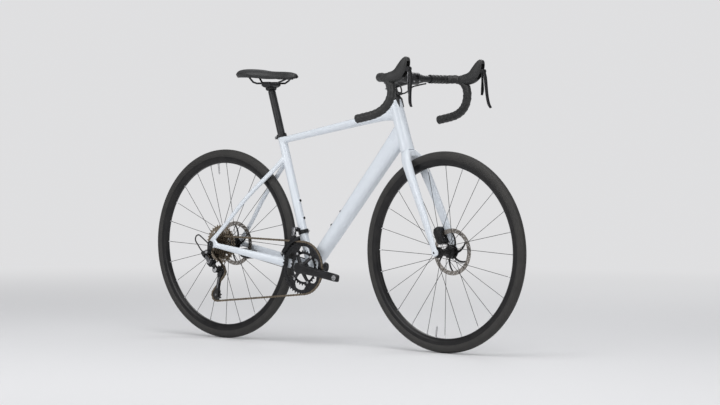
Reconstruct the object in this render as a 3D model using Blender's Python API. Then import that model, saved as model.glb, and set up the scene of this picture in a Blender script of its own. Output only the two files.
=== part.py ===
"""A road bike with disc brakes and two by ten gears, built as an assembly of its own pieces.

Metres, +Z up, +X towards the front wheel, +Y to the rider's left, so the chain runs on the -Y side.
The origin is on the ground, midway between the two wheel axles.
"""

import math

import bmesh
import bpy
from mathutils import Vector

# Driving dimensions: the whole bike
WHEELBASE = 1.027
CHAINSTAY = 0.4248
BB_HEIGHT = 0.270
SEAT_ANGLE = math.radians(72.8)
HEAD_ANGLE = math.radians(71.5)
SEAT_TUBE_LENGTH = 0.494
HEAD_TUBE_LENGTH = 0.1837
FORK_LENGTH = 0.3764
FORK_OFFSET = 0.050
GAP = 0.0003

# Wheels
TYRE_RADIUS = 0.343
TYRE_WIDTH = 0.032
BEAD_RADIUS = 0.311
RIM_WIDTH = 0.024
RIM_DEPTH = 0.0235
WHEEL_SIDES = 26
SPOKES = 24
SPOKE_LEAN = 0.0012
SPOKE_RADIUS = 0.0009
FRONT_SPACING = 0.100
REAR_SPACING = 0.142
AXLE_RADIUS = 0.006
ROTOR_RADIUS = 0.080
ROTOR_THICKNESS = 0.0018
FRONT_ROTOR_Y = 0.0395
REAR_ROTOR_Y = 0.0522
CROWN_HALF = 0.0035

# Frame tubes
HEAD_TUBE_RADIUS = 0.0240
SEAT_TUBE_RADIUS = 0.0159
SEAT_SIDES = 12
SEATPOST_RADIUS = 0.0136
BB_SHELL_RADIUS = 0.0205
BB_SHELL_WIDTH = 0.068
DROPOUT_THICKNESS = 0.0085
STEERER_RADIUS = 0.0143
LOWER_STEERER_RADIUS = 0.019

# Drive
PITCH = 0.0127
OUTER_TEETH = 46
INNER_TEETH = 30
COGS = (34, 30, 25, 23, 21, 19, 17, 15, 13, 11)
CHAIN_COG = 15
PULLEY_TEETH = 11
CHAIN_LINKS = 2 * math.ceil(CHAINSTAY / PITCH) + OUTER_TEETH
OUTER_RING_Y = -0.047
INNER_RING_Y = -0.0405
FIRST_COG_Y = -0.0245
COG_STEP = 0.00395
COG_THICKNESS = 0.0016
CRANK_LENGTH = 0.1725
CRANK_ANGLE = math.radians(-9.3)
SPINDLE_RADIUS = 0.012
SPINDLE_SIDES = 12
CAGE_LENGTH = 0.088

# Cockpit and saddle
BAR_RADIUS = 0.0119
BAR_CLAMP_RADIUS = 0.0159
HOOD_HALF_WIDTH = 0.201
DROP_HALF_WIDTH = 0.220
STEM_LENGTH = 0.100
SPACER_HEIGHT = 0.0373
SADDLE_LENGTH = 0.253
SADDLE_WIDTH = 0.146

X_AXIS = Vector((1, 0, 0))
Y_AXIS = Vector((0, 1, 0))
Z_AXIS = Vector((0, 0, 1))

# Places that follow from the driving dimensions
REAR_HUB = Vector((-WHEELBASE / 2, 0, TYRE_RADIUS))
FRONT_HUB = Vector((WHEELBASE / 2, 0, TYRE_RADIUS))
BB_DROP = TYRE_RADIUS - BB_HEIGHT
BB = Vector((REAR_HUB.x + math.sqrt(CHAINSTAY**2 - BB_DROP**2), 0, BB_HEIGHT))
SEAT_AXIS = Vector((-math.cos(SEAT_ANGLE), 0, math.sin(SEAT_ANGLE)))
SEAT_FRONT = Vector((math.sin(SEAT_ANGLE), 0, math.cos(SEAT_ANGLE)))
STEER_AXIS = Vector((-math.cos(HEAD_ANGLE), 0, math.sin(HEAD_ANGLE)))
STEER_FRONT = Vector((math.sin(HEAD_ANGLE), 0, math.cos(HEAD_ANGLE)))
HEAD_BOTTOM = FRONT_HUB - STEER_FRONT * FORK_OFFSET + STEER_AXIS * FORK_LENGTH
SEAT_TOP = BB + SEAT_AXIS * SEAT_TUBE_LENGTH
HANGER_BOLT = REAR_HUB + Vector((-0.006, 0, -0.0280))
HANGER_THICKNESS = 0.004
HANGER_OUTER = -REAR_SPACING / 2 - DROPOUT_THICKNESS - GAP - HANGER_THICKNESS


# Materials


def paint(name, colour, roughness, metallic=0.0):
    made = bpy.data.materials.new(name)
    made.use_nodes = True
    shader = made.node_tree.nodes["Principled BSDF"]
    shader.inputs["Base Color"].default_value = (*colour, 1)
    shader.inputs["Roughness"].default_value = roughness
    shader.inputs["Metallic"].default_value = metallic
    return made


# Shapes


def put(name, mesh, finish, origin=(0, 0, 0)):
    """One visible piece, with its origin on the axis that it turns about."""
    origin = Vector(origin)
    bmesh.ops.recalc_face_normals(mesh, faces=mesh.faces)
    bmesh.ops.translate(mesh, verts=mesh.verts, vec=-origin)
    data = bpy.data.meshes.new(name)
    mesh.to_mesh(data)
    mesh.free()
    data.materials.append(finish)
    data.shade_smooth()
    data.set_sharp_from_angle(angle=math.radians(35))
    piece = bpy.data.objects.new(name, data)
    piece.location = origin
    bpy.context.scene.collection.objects.link(piece)
    return piece


def cut_or_join(piece, mesh, operation, name):
    """Joins a shape to a piece or cuts it away, and leaves the tool as a hidden helper."""
    bmesh.ops.recalc_face_normals(mesh, faces=mesh.faces)
    data = bpy.data.meshes.new(name)
    mesh.to_mesh(data)
    mesh.free()
    tool = bpy.data.objects.new(name, data)
    tool.hide_render = True
    tool.display_type = "WIRE"
    bpy.context.scene.collection.objects.link(tool)
    modifier = piece.modifiers.new(name, "BOOLEAN")
    modifier.operation = operation
    modifier.object = tool
    return piece


def join(piece, mesh, name):
    return cut_or_join(piece, mesh, "UNION", name)


def cut(piece, mesh, name):
    return cut_or_join(piece, mesh, "DIFFERENCE", name)


def bridge(mesh, first, second):
    for i in range(len(first)):
        j = (i + 1) % len(first)
        mesh.faces.new((first[i], first[j], second[j], second[i]))


def add_rings(mesh, rings, closed=False):
    """A skin over rings of points, capped at both ends or closed into a loop."""
    made = [[mesh.verts.new(point) for point in ring] for ring in rings]
    for first, second in zip(made, made[1:]):
        bridge(mesh, first, second)
    if closed:
        bridge(mesh, made[-1], made[0])
    else:
        mesh.faces.new(made[0])
        mesh.faces.new(made[-1])
    return mesh


def oval(centre, across, up, half_across, half_up, sides, power=2.0):
    """Points of an oval, or of a rounded box where power is above 2."""
    points = []
    for i in range(sides):
        angle = 2 * math.pi * (i + 0.5) / sides
        x = math.copysign(abs(math.cos(angle)) ** (2 / power), math.cos(angle))
        y = math.copysign(abs(math.sin(angle)) ** (2 / power), math.sin(angle))
        points.append(centre + across * half_across * x + up * half_up * y)
    return points


def tangents(points):
    found = []
    for i in range(len(points)):
        before = points[max(i - 1, 0)]
        after = points[min(i + 1, len(points) - 1)]
        found.append((after - before).normalized())
    return found


def tube_rings(points, sizes, sides=10, across=Y_AXIS, power=2.0):
    """Rings along points. A size is the half width across and the half height at a point."""
    rings = []
    side = Vector(across)
    for point, along, size in zip(points, tangents(points), sizes):
        side = (side - along * side.dot(along)).normalized()
        rings.append(oval(Vector(point), side, along.cross(side), size[0], size[1], sides, power))
    return rings


def add_tube(mesh, points, sizes, sides=10, across=Y_AXIS, power=2.0):
    return add_rings(mesh, tube_rings(points, sizes, sides, across, power))


def tube(points, sizes, sides=10, across=Y_AXIS, power=2.0):
    points = [Vector(point) for point in points]
    if isinstance(sizes, float):
        sizes = [(sizes, sizes)] * len(points)
    return add_tube(bmesh.new(), points, sizes, sides, across, power)


def smooth(points, steps):
    """A smooth curve through points, with this many steps between each two."""
    points = [Vector(point) for point in points]
    ends = [points[0] * 2 - points[1]] + points + [points[-1] * 2 - points[-2]]
    curve = []
    for i in range(1, len(ends) - 2):
        for step in range(steps):
            t = step / steps
            a, b, c, d = ends[i - 1 : i + 3]
            curve.append(
                0.5 * (2 * b + (c - a) * t + (2 * a - 5 * b + 4 * c - d) * t**2
                       + (3 * b - a - 3 * c + d) * t**3)
            )
    curve.append(points[-1])
    return curve


def add_turned(mesh, profile, origin, axis=Y_AXIS, sides=20, ring=False, start=0.5):
    """Turns a profile of (radius, distance along the axis). A ring has a bore, and the rest is solid."""
    axis = Vector(axis).normalized()
    first = axis.orthogonal().normalized()
    if abs(axis.y) > 0.9:
        first = -Z_AXIS
    second = axis.cross(first)
    rings = []
    for radius, along in profile:
        points = []
        for i in range(sides):
            angle = 2 * math.pi * (i + start) / sides
            direction = first * math.cos(angle) + second * math.sin(angle)
            points.append(Vector(origin) + axis * along + direction * radius)
        rings.append(points)
    return add_rings(mesh, rings, closed=ring)


def turned(profile, origin, axis=Y_AXIS, sides=20, ring=False, start=0.5):
    return add_turned(bmesh.new(), profile, origin, axis, sides, ring, start)


def rod(radius, low, high, origin, axis=Y_AXIS, sides=16):
    return turned([(radius, low), (radius, high)], origin, axis, sides)


def washer(inner, outer, low, high, origin, axis=Y_AXIS, sides=20):
    profile = [(inner, low), (outer, low), (outer, high), (inner, high)]
    return turned(profile, origin, axis, sides, ring=True)


def add_plate(mesh, outline, low, high, centre, across=X_AXIS, up=Z_AXIS):
    """A flat plate of an outline in the plane of across and up, between two heights along across x up."""
    centre, across, up = Vector(centre), Vector(across), Vector(up)
    normal = across.cross(up)
    rings = [[centre + across * x + up * y + normal * height for x, y in outline] for height in (low, high)]
    return add_rings(mesh, rings)


def plate(outline, low, high, centre, across=X_AXIS, up=Z_AXIS):
    return add_plate(bmesh.new(), outline, low, high, centre, across, up)


def arc(radius, start, end, count, centre=(0, 0)):
    """Points of an arc, angles in radians."""
    return [
        (centre[0] + radius * math.cos(start + (end - start) * i / (count - 1)),
         centre[1] + radius * math.sin(start + (end - start) * i / (count - 1)))
        for i in range(count)
    ]


def link_outline(first, second, first_radius, second_radius, count=6):
    """The outline of a link with a round end about each of two points."""
    first, second = Vector(first), Vector(second)
    turn = math.atan2(second.y - first.y, second.x - first.x)
    half = math.pi / 2
    return arc(first_radius, turn + half, turn + 3 * half, count, first) + arc(
        second_radius, turn - half, turn + half, count, second
    )


def in_side_view(point):
    """The x and z of a point, for an outline seen from the side."""
    return Vector((point[0], point[2]))


def pitch_radius(teeth):
    return teeth * PITCH / (2 * math.pi)


def on_steerer(along, forward=0.0, left=0.0):
    return HEAD_BOTTOM + STEER_AXIS * along + STEER_FRONT * forward + Y_AXIS * left


def on_seat_tube(along, forward=0.0, left=0.0):
    return BB + SEAT_AXIS * along + SEAT_FRONT * forward + Y_AXIS * left


# Finishes, from the photograph
WHITE = paint("gloss_white_paint", (0.80, 0.84, 0.88), 0.25)
BLACK_SATIN = paint("satin_black_alloy", (0.025, 0.025, 0.027), 0.35, 0.6)
BLACK_PLASTIC = paint("black_plastic", (0.02, 0.02, 0.02), 0.45)
RUBBER = paint("black_rubber", (0.018, 0.018, 0.018), 0.85)
TAPE = paint("black_bar_tape", (0.022, 0.022, 0.022), 0.75)
PAD_COVER = paint("black_saddle_cover", (0.02, 0.02, 0.021), 0.6)
STEEL = paint("brushed_steel", (0.45, 0.45, 0.45), 0.35, 1.0)
CHAIN_STEEL = paint("warm_chain_steel", (0.36, 0.31, 0.26), 0.4, 1.0)
HOSE = paint("black_hose", (0.02, 0.02, 0.02), 0.5)


# Startup scene


def clear_scene():
    for obj in list(bpy.data.objects):
        bpy.data.objects.remove(obj, do_unlink=True)


# Frame

HEAD_BORE = 0.0210
LOWER_BEARING_BORE = 0.0235
BEARING_HEIGHT = 0.0075
NOTCH_DEPTH = 0.031
NOTCH_HALF_WIDTH = 0.0075
NOTCH_ANGLE = math.radians(27)
SEAT_BORE_DEPTH = 0.25
BB_BORE = 0.0178
BOSS_RADIUS = 0.0055
BOSS_HEIGHT = 0.0022


STAY_ROUTE = [
    # share of the way to the rear axle, left, half width, half height
    (0.020, 0.0235, 0.0085, 0.0165),
    (0.150, 0.0290, 0.0070, 0.0165),
    (0.240, 0.0345, 0.0080, 0.0160),
    (0.600, REAR_SPACING / 2 - 0.0135, 0.0076, 0.0132),
    (0.955, REAR_SPACING / 2 + 0.0038, 0.0042, 0.0100),
]
STAY_POWER = 2.6


def chainstays():
    mesh = bmesh.new()
    sizes = [(half_width, half_height) for _, _, half_width, half_height in STAY_ROUTE]
    for side in (-1, 1):
        points = [BB.lerp(REAR_HUB, share) + Y_AXIS * left * side for share, left, _, _ in STAY_ROUTE]
        add_tube(mesh, points, sizes, 8, Y_AXIS, STAY_POWER)
    return mesh


def seatstays():
    mesh = bmesh.new()
    top = on_seat_tube(0.405, -0.006)
    low = REAR_HUB + Vector((0.0115, 0, 0.0205))
    middle = top.lerp(low, 0.5) + Vector((-0.004, 0, 0.006))
    axle_end = REAR_SPACING / 2
    route = [(top, 0.0105), (top.lerp(low, 0.12), 0.0180), (middle, axle_end - 0.0260),
             (top.lerp(low, 0.82), axle_end - 0.0045), (low, axle_end + 0.0040)]
    sizes = [(0.0068, 0.0110), (0.0066, 0.0095), (0.0066, 0.0088), (0.0058, 0.0085), (0.0040, 0.0090)]
    for side in (-1, 1):
        points = [Vector((point.x, left * side, point.z)) for point, left in route]
        add_tube(mesh, points, sizes, 8, Y_AXIS, 2.2)
    return mesh


def dropouts():
    """Plates that hold the axle, between the ends of the stays, on both sides."""
    mesh = bmesh.new()
    inner = REAR_SPACING / 2
    behind = arc(0.0150, math.radians(125), math.radians(290), 6)
    outline = behind + [(0.019, -0.0125), (0.036, -0.0125), (0.032, 0.0035), (0.020, 0.016), (0.019, 0.029),
                        (0.004, 0.026)]
    for low in (inner, -inner - DROPOUT_THICKNESS):
        add_plate(mesh, outline, -low - DROPOUT_THICKNESS, -low, REAR_HUB)
    return mesh


def frame():
    # Down tube, deeper at the head, with a wide foot on the bottom bracket shell
    low = BB + Vector((0.008, 0, 0.004))
    high = on_steerer(0.068, -0.006)
    points = [low, low.lerp(high, 0.10), low.lerp(high, 0.45), low.lerp(high, 0.84), high]
    sizes = [(0.0265, 0.0225), (0.0262, 0.0245), (0.0255, 0.0280), (0.0240, 0.0320), (0.0215, 0.0370)]
    piece = put("frame", tube(points, sizes, 10, power=2.3), WHITE)

    # Seat tube
    join(piece, rod(SEAT_TUBE_RADIUS, 0, SEAT_TUBE_LENGTH, BB, SEAT_AXIS, SEAT_SIDES), "seat_tube")

    # Top tube, thin at the seat and deep at the head
    back = on_seat_tube(0.471)
    front = on_steerer(0.142, -0.004)
    points = [back, back.lerp(front, 0.10), back.lerp(front, 0.50), back.lerp(front, 0.86), front]
    sizes = [(0.0150, 0.0120), (0.0155, 0.0120), (0.0175, 0.0140), (0.0205, 0.0175), (0.0200, 0.0290)]
    join(piece, tube(points, sizes, 10, power=2.4), "top_tube")

    # Head tube and bottom bracket shell
    radius = HEAD_TUBE_RADIUS
    profile = [(radius + 0.0018, 0.0), (radius, 0.070), (radius, 0.150), (radius + 0.0007, HEAD_TUBE_LENGTH)]
    join(piece, turned(profile, HEAD_BOTTOM, STEER_AXIS, 14), "head_tube")
    join(piece, rod(BB_SHELL_RADIUS, -BB_SHELL_WIDTH / 2, BB_SHELL_WIDTH / 2, BB, Y_AXIS, 14), "bb_shell")

    # Stays, their bridge and the dropouts
    join(piece, chainstays(), "chainstays")
    join(piece, seatstays(), "seatstays")
    join(piece, dropouts(), "dropouts")
    join(piece, rod(0.0080, -0.026, 0.026, BB.lerp(REAR_HUB, 0.130), Y_AXIS, 8), "chainstay_bridge")

    # Bottle bosses on the seat tube and the down tube
    bosses = bmesh.new()
    for along in (0.178, 0.242):
        base = on_seat_tube(along)
        reach = SEAT_TUBE_RADIUS + BOSS_HEIGHT
        add_turned(bosses, [(BOSS_RADIUS, SEAT_TUBE_RADIUS - 0.003), (BOSS_RADIUS, reach)], base, SEAT_FRONT, 8)
    join(piece, bosses, "seat_tube_bosses")
    bosses = bmesh.new()
    along_tube = (high - low).normalized()
    above = Vector((-along_tube.z, 0, along_tube.x))
    for along in (0.170, 0.234):
        base = low + along_tube * along
        add_turned(bosses, [(BOSS_RADIUS, 0.020), (BOSS_RADIUS, 0.0290 + BOSS_HEIGHT)], base, above, 8)
    join(piece, bosses, "down_tube_bosses")

    # Bores for the steerer and its bearings, the seatpost, the bottom bracket and the rear axle
    bores = bmesh.new()
    profile = [
        (LOWER_BEARING_BORE, -0.02), (LOWER_BEARING_BORE, 0.0085), (HEAD_BORE, 0.0105),
        (HEAD_BORE, HEAD_TUBE_LENGTH + 0.02),
    ]
    add_turned(bores, profile, HEAD_BOTTOM, STEER_AXIS, 12)
    bore = SEATPOST_RADIUS + GAP
    profile = [(bore, SEAT_TUBE_LENGTH - SEAT_BORE_DEPTH), (bore, SEAT_TUBE_LENGTH + 0.02)]
    add_turned(bores, profile, BB, SEAT_AXIS, 12)
    add_turned(bores, [(BB_BORE, -0.06), (BB_BORE, 0.06)], BB, Y_AXIS, SPINDLE_SIDES)
    add_turned(bores, [(AXLE_RADIUS + GAP, -0.1), (AXLE_RADIUS + GAP, 0.1)], REAR_HUB, Y_AXIS, 8)
    cut(piece, bores, "frame_bores")

    # Two pointed notches at the top of the head tube, for the hose guides
    notches = bmesh.new()
    for side in (-1, 1):
        out = STEER_FRONT * math.cos(NOTCH_ANGLE) + Y_AXIS * side * math.sin(NOTCH_ANGLE)
        across = STEER_AXIS.cross(out)
        top = on_steerer(HEAD_TUBE_LENGTH)
        outline = [(-NOTCH_HALF_WIDTH, 0.01), (-NOTCH_HALF_WIDTH, 0), (0, -NOTCH_DEPTH), (NOTCH_HALF_WIDTH, 0),
                   (NOTCH_HALF_WIDTH, 0.01)]
        add_plate(notches, outline, 0.015, 0.04, top, across, STEER_AXIS)
    cut(piece, notches, "hose_notches")
    return piece


def derailleur_hanger():
    """The replaceable hanger outside the right dropout, with its arm down to the derailleur bolt."""
    outline = link_outline((0, 0), in_side_view(HANGER_BOLT - REAR_HUB), 0.0125, 0.0085, 7)
    low = -HANGER_OUTER - HANGER_THICKNESS
    piece = put("derailleur_hanger", plate(outline, low, -HANGER_OUTER, REAR_HUB), BLACK_SATIN)
    holes = bmesh.new()
    add_turned(holes, [(AXLE_RADIUS + GAP, -0.1), (AXLE_RADIUS + GAP, -0.06)], REAR_HUB, Y_AXIS, 8)
    add_turned(holes, [(0.0052, -0.1), (0.0052, -0.06)], HANGER_BOLT, Y_AXIS, 8)
    return cut(piece, holes, "hanger_holes")


# Wheels


def tyre(name, hub):
    """A 32 mm tyre whose crown facet rests flat on the ground, with beads down inside the rim."""
    reach = 1 / math.cos(math.pi / WHEEL_SIDES)
    half = TYRE_WIDTH / 2
    side = [
        (TYRE_RADIUS, CROWN_HALF), (TYRE_RADIUS - 0.0036, half * 0.68), (BEAD_RADIUS + 0.0165, half),
        (BEAD_RADIUS + 0.0072, half * 0.735), (BEAD_RADIUS - 0.0004, half * 0.56),
    ]
    profile = side + [(radius, -left) for radius, left in reversed(side)]
    profile = [(radius * reach, left) for radius, left in profile]
    return put(name, turned(profile, hub, Y_AXIS, WHEEL_SIDES, ring=True), RUBBER, hub)


def rim(name, hub):
    reach = 1 / math.cos(math.pi / WHEEL_SIDES)
    half = RIM_WIDTH / 2
    top = BEAD_RADIUS + 0.0060
    side = [
        (BEAD_RADIUS - 0.0012, half * 0.77), (top, half), (top - 0.0130, half), (top - RIM_DEPTH, half * 0.5),
    ]
    profile = side + [(radius, -left) for radius, left in reversed(side)]
    profile = [(radius * reach, left) for radius, left in profile]
    return put(name, turned(profile, hub, Y_AXIS, WHEEL_SIDES, ring=True), BLACK_SATIN, hub)


def spokes(hub, flanges, flange_radius):
    """The spokes of a wheel. Each leans one step round the rim and passes two others at its flange's side."""
    mesh = bmesh.new()
    rim_radius = BEAD_RADIUS + 0.0060 - RIM_DEPTH - GAP
    per_side = SPOKES // 2
    step = 2 * math.pi / per_side
    for flange, turn in zip(flanges, (0, step / 2)):
        for i in range(per_side):
            lean = 1 if i % 2 else -1
            start = turn + step * i
            end = start + lean * 2 * step
            low = hub + Vector((math.cos(start), 0, math.sin(start))) * flange_radius
            high = hub + Vector((math.cos(end), 0, math.sin(end))) * rim_radius
            low.y = flange + lean * SPOKE_LEAN
            high.y = math.copysign(0.0015, flange)
            add_tube(mesh, [low, high], [(SPOKE_RADIUS, SPOKE_RADIUS)] * 2, 3, Y_AXIS)
    return mesh


def hub_with_spokes(name, hub, profile, flanges, flange_radius):
    piece = put(name, turned(profile, hub, Y_AXIS, HUB_SIDES, ring=True), BLACK_SATIN, hub)
    return join(piece, spokes(hub, flanges, flange_radius - 0.0025), name + "_spokes")


HUB_BORE = AXLE_RADIUS + 0.0009
HUB_SIDES = 10
ROTOR_SEAT = 0.0170


def front_hub():
    profile = [
        (HUB_BORE, -0.0455), (0.0105, -0.0455), (0.0110, -0.0385), (0.0190, -0.0370), (0.0190, -0.0320),
        (0.0120, -0.0290), (0.0120, 0.0180), (0.0205, 0.0205), (0.0205, 0.0255), (ROTOR_SEAT, 0.0265),
        (ROTOR_SEAT, FRONT_ROTOR_Y + 0.0022), (0.0105, 0.0455), (HUB_BORE, 0.0455),
    ]
    return hub_with_spokes("front_hub", FRONT_HUB, profile, (0.0230, -0.0345), 0.0190)


def rear_hub():
    profile = [
        (HUB_BORE, -0.0215), (0.0165, -0.0215), (0.0225, -0.0210), (0.0225, -0.0160), (0.0150, -0.0130),
        (0.0150, 0.0280), (0.0215, 0.0315), (0.0215, 0.0365), (ROTOR_SEAT, 0.0380),
        (ROTOR_SEAT, REAR_ROTOR_Y + 0.0022), (0.0110, 0.0600), (HUB_BORE, 0.0600),
    ]
    return hub_with_spokes("rear_hub", REAR_HUB, profile, (0.0340, -0.0185), 0.0215)


def rotor(name, hub, left):
    """A 160 mm disc: a brake band on six swept arms about a splined carrier."""
    centre = hub + Y_AXIS * left
    half = ROTOR_THICKNESS / 2
    piece = put(name, washer(ROTOR_RADIUS - 0.0150, ROTOR_RADIUS, -half, half, centre, Y_AXIS, 20), STEEL, hub)
    seat = ROTOR_SEAT + GAP
    join(piece, washer(seat, 0.0240, -half * 0.95, half * 0.95, centre, Y_AXIS, HUB_SIDES), name + "_carrier")
    arms = bmesh.new()
    for i in range(6):
        start = 2 * math.pi * i / 6
        end = start + math.radians(32)
        outline = [
            (0.0215 * math.cos(start - 0.17), 0.0215 * math.sin(start - 0.17)),
            (0.0670 * math.cos(end - 0.075), 0.0670 * math.sin(end - 0.075)),
            (0.0670 * math.cos(end + 0.075), 0.0670 * math.sin(end + 0.075)),
            (0.0215 * math.cos(start + 0.17), 0.0215 * math.sin(start + 0.17)),
        ]
        add_plate(arms, outline, -half * 0.8, half * 0.8, centre)
    return join(piece, arms, name + "_arms")


def thru_axle(name, hub, spacing, dropout, inner_left, inner_right):
    """A 12 mm axle with its head on the left, and the end caps that it clamps between the dropouts."""
    cap = spacing / 2 - GAP
    end = spacing / 2 + dropout
    profile = [
        (AXLE_RADIUS - 0.001, -end - 0.0005), (AXLE_RADIUS, -end + 0.001), (AXLE_RADIUS, -cap),
        (0.0088, -cap), (0.0088, -inner_right), (AXLE_RADIUS, -inner_right), (AXLE_RADIUS, inner_left),
        (0.0088, inner_left), (0.0088, cap), (AXLE_RADIUS, cap), (AXLE_RADIUS, end + GAP),
        (0.0085, end + GAP), (0.0078, end + 0.0045),
    ]
    return put(name, turned(profile, hub, Y_AXIS, 8), BLACK_SATIN, hub)


# Chain path and sprockets

CHAIN_COG_Y = FIRST_COG_Y - COGS.index(CHAIN_COG) * COG_STEP
CHAIN_HALF_WIDTH = 0.00275
CHAIN_HALF_SLOT = 0.00112
CHAIN_HALF_HEIGHT = 0.0038
ROLLER_RADIUS = 0.00345
TOOTH_TIP = 0.0026
CAGE_PIVOT = REAR_HUB + Vector((0.0200, CHAIN_COG_Y, -0.0915))
GUIDE_FROM_PIVOT = Vector((0.0075, -0.0055))


def turned_by(vector, angle):
    return Vector((
        vector.x * math.cos(angle) - vector.y * math.sin(angle),
        vector.x * math.sin(angle) + vector.y * math.cos(angle),
    ))


def pulley_centres(cage_angle):
    pivot = in_side_view(CAGE_PIVOT)
    guide = pivot + turned_by(GUIDE_FROM_PIVOT, cage_angle)
    tension = pivot + turned_by(GUIDE_FROM_PIVOT + Vector((0, -CAGE_LENGTH)), cage_angle)
    return guide, tension


def chain_wheels(cage_angle):
    """Each wheel that the chain runs on: its centre, pitch radius, way of turning, and left place."""
    guide, tension = pulley_centres(cage_angle)
    return [
        (in_side_view(BB), pitch_radius(OUTER_TEETH), 1, OUTER_RING_Y),
        (in_side_view(REAR_HUB), pitch_radius(CHAIN_COG), 1, CHAIN_COG_Y),
        (guide, pitch_radius(PULLEY_TEETH), -1, CHAIN_COG_Y),
        (tension, pitch_radius(PULLEY_TEETH), 1, CHAIN_COG_Y),
    ]


def chain_runs(cage_angle):
    """The arcs on the wheels and the straight runs between them, in the chain's order."""
    wheels = chain_wheels(cage_angle)
    headings = []
    for first, second in zip(wheels, wheels[1:] + wheels[:1]):
        between = second[0] - first[0]
        lean = math.asin((first[2] * first[1] - second[2] * second[1]) / between.length)
        headings.append(math.atan2(between.y, between.x) + lean)
    runs = []
    for i, (centre, radius, turn, left) in enumerate(wheels):
        sweep = (turn * (headings[i] - headings[i - 1])) % (2 * math.pi)
        runs.append(("arc", centre, radius, turn, left, headings[i - 1], radius * sweep))
        away = Vector((math.sin(headings[i]), -math.cos(headings[i])))
        following = wheels[(i + 1) % len(wheels)]
        start = centre + away * turn * radius
        end = following[0] + away * following[2] * following[1]
        runs.append(("line", start, end, (left, following[3]), (turn, following[2]), (end - start).length))
    return runs


def chain_length(cage_angle):
    return sum(run[-1] for run in chain_runs(cage_angle))


def settled_cage_angle():
    """The cage angle at which the loop holds a whole number of links, found by halving."""
    low, high = math.radians(-75), math.radians(30)
    wanted = CHAIN_LINKS * PITCH
    for _ in range(50):
        middle = (low + high) / 2
        if chain_length(middle) > wanted:
            low = middle
        else:
            high = middle
    return (low + high) / 2


def chain_pins(cage_angle):
    """The centre of each pin along the loop, and the way of turning of the wheel that it is nearest to."""
    runs = chain_runs(cage_angle)
    pins, turns = [], []
    for i in range(CHAIN_LINKS):
        along = i * PITCH
        for run in runs:
            if along <= run[-1] or run is runs[-1]:
                break
            along -= run[-1]
        if run[0] == "arc":
            _, centre, radius, turn, left, heading, _ = run
            heading += turn * along / radius
            point = centre + Vector((math.sin(heading), -math.cos(heading))) * turn * radius
        else:
            _, start, end, lefts, wheel_turns, length = run
            share = along / length
            point = start.lerp(end, share)
            left = lefts[0] + (lefts[1] - lefts[0]) * share * share * (3 - 2 * share)
            turn = wheel_turns[0] if share < 0.5 else wheel_turns[1]
        pins.append(Vector((point.x, left, point.y)))
        turns.append(turn)
    return pins, turns


CAGE_ANGLE = settled_cage_angle()
PINS, PIN_TURNS = chain_pins(CAGE_ANGLE)


def tooth_phase(centre, teeth, left):
    """The angle of a tooth that sits between two chain pins on this wheel."""
    radius = pitch_radius(teeth)
    for pin in PINS:
        offset = in_side_view(pin) - centre
        if abs(offset.length - radius) < 0.00002 and abs(pin.y - left) < 0.00002:
            return math.atan2(offset.y, offset.x) + math.pi / teeth
    return 0.0


def toothed_outline(teeth, phase=0.0, width=0.0019):
    """Teeth that stand clear of the rollers, each with a pointed tip and two feet."""
    link = pitch_radius(teeth) * math.cos(math.pi / teeth)
    root = link - CHAIN_HALF_HEIGHT - 0.0005
    outline = []
    for i in range(teeth):
        angle = phase + 2 * math.pi * i / teeth
        foot = width / root
        for turn, reach in ((-foot, root), (0, link + TOOTH_TIP), (foot, root)):
            outline.append((reach * math.cos(angle + turn), reach * math.sin(angle + turn)))
    return outline


def plain_toothed_outline(teeth, phase=0.0):
    """Teeth drawn with one tip and one valley each, for cogs that no chain runs on."""
    radius = pitch_radius(teeth)
    outline = []
    for i in range(teeth):
        for turn, reach in ((0, radius + TOOTH_TIP), (0.5, radius - 0.0028)):
            angle = phase + 2 * math.pi * (i + turn) / teeth
            outline.append((reach * math.cos(angle), reach * math.sin(angle)))
    return outline


FREEHUB_RADIUS = 0.0168
CORE_RADIUS = 0.0186


def cassette():
    """Ten cogs on the freehub body, from 34 teeth beside the spokes to 11 at the end, with the lockring."""
    last = FIRST_COG_Y - (len(COGS) - 1) * COG_STEP
    profile = [
        (FREEHUB_RADIUS, FIRST_COG_Y + 0.0018), (CORE_RADIUS, FIRST_COG_Y + 0.0006),
        (CORE_RADIUS, last + 0.0004), (0.0160, last - 0.0020),
    ]
    piece = put("cassette", turned(profile, REAR_HUB, Y_AXIS, 8), CHAIN_STEEL, REAR_HUB)
    cogs = bmesh.new()
    half = COG_THICKNESS / 2
    for i, teeth in enumerate(COGS):
        left = FIRST_COG_Y - i * COG_STEP
        if teeth == CHAIN_COG:
            outline = toothed_outline(teeth, tooth_phase(in_side_view(REAR_HUB), teeth, CHAIN_COG_Y))
        else:
            outline = plain_toothed_outline(teeth)
        add_plate(cogs, outline, -left - half, -left + half, REAR_HUB)
    join(piece, cogs, "cogs")
    return cut(piece, rod(HUB_BORE, -0.08, 0.0, REAR_HUB, Y_AXIS, 8), "freehub_bore")


SPIDER_ANGLES = [math.radians(angle) for angle in (55, 125, -125, -55)]
BOLT_CIRCLE = 0.055
RING_SEAT = -INNER_RING_Y + 0.0011
RING_HALF = 0.0008


def outer_chainring():
    phase = tooth_phase(in_side_view(BB), OUTER_TEETH, OUTER_RING_Y)
    outline = toothed_outline(OUTER_TEETH, phase)
    piece = put(
        "outer_chainring",
        plate(outline, -OUTER_RING_Y - RING_HALF, -OUTER_RING_Y + RING_HALF, BB), BLACK_SATIN, BB,
    )
    # The open middle leaves a tab at each chainring bolt
    inner = []
    for angle in sorted(CRANK_ANGLE + turn for turn in SPIDER_ANGLES):
        for turn, reach in ((-0.40, 0.0755), (-0.14, 0.0480), (0.14, 0.0480), (0.40, 0.0755)):
            inner.append((reach * math.cos(angle + turn), reach * math.sin(angle + turn)))
    return cut(piece, plate(inner, 0.030, 0.070, BB), "outer_ring_opening")


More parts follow.
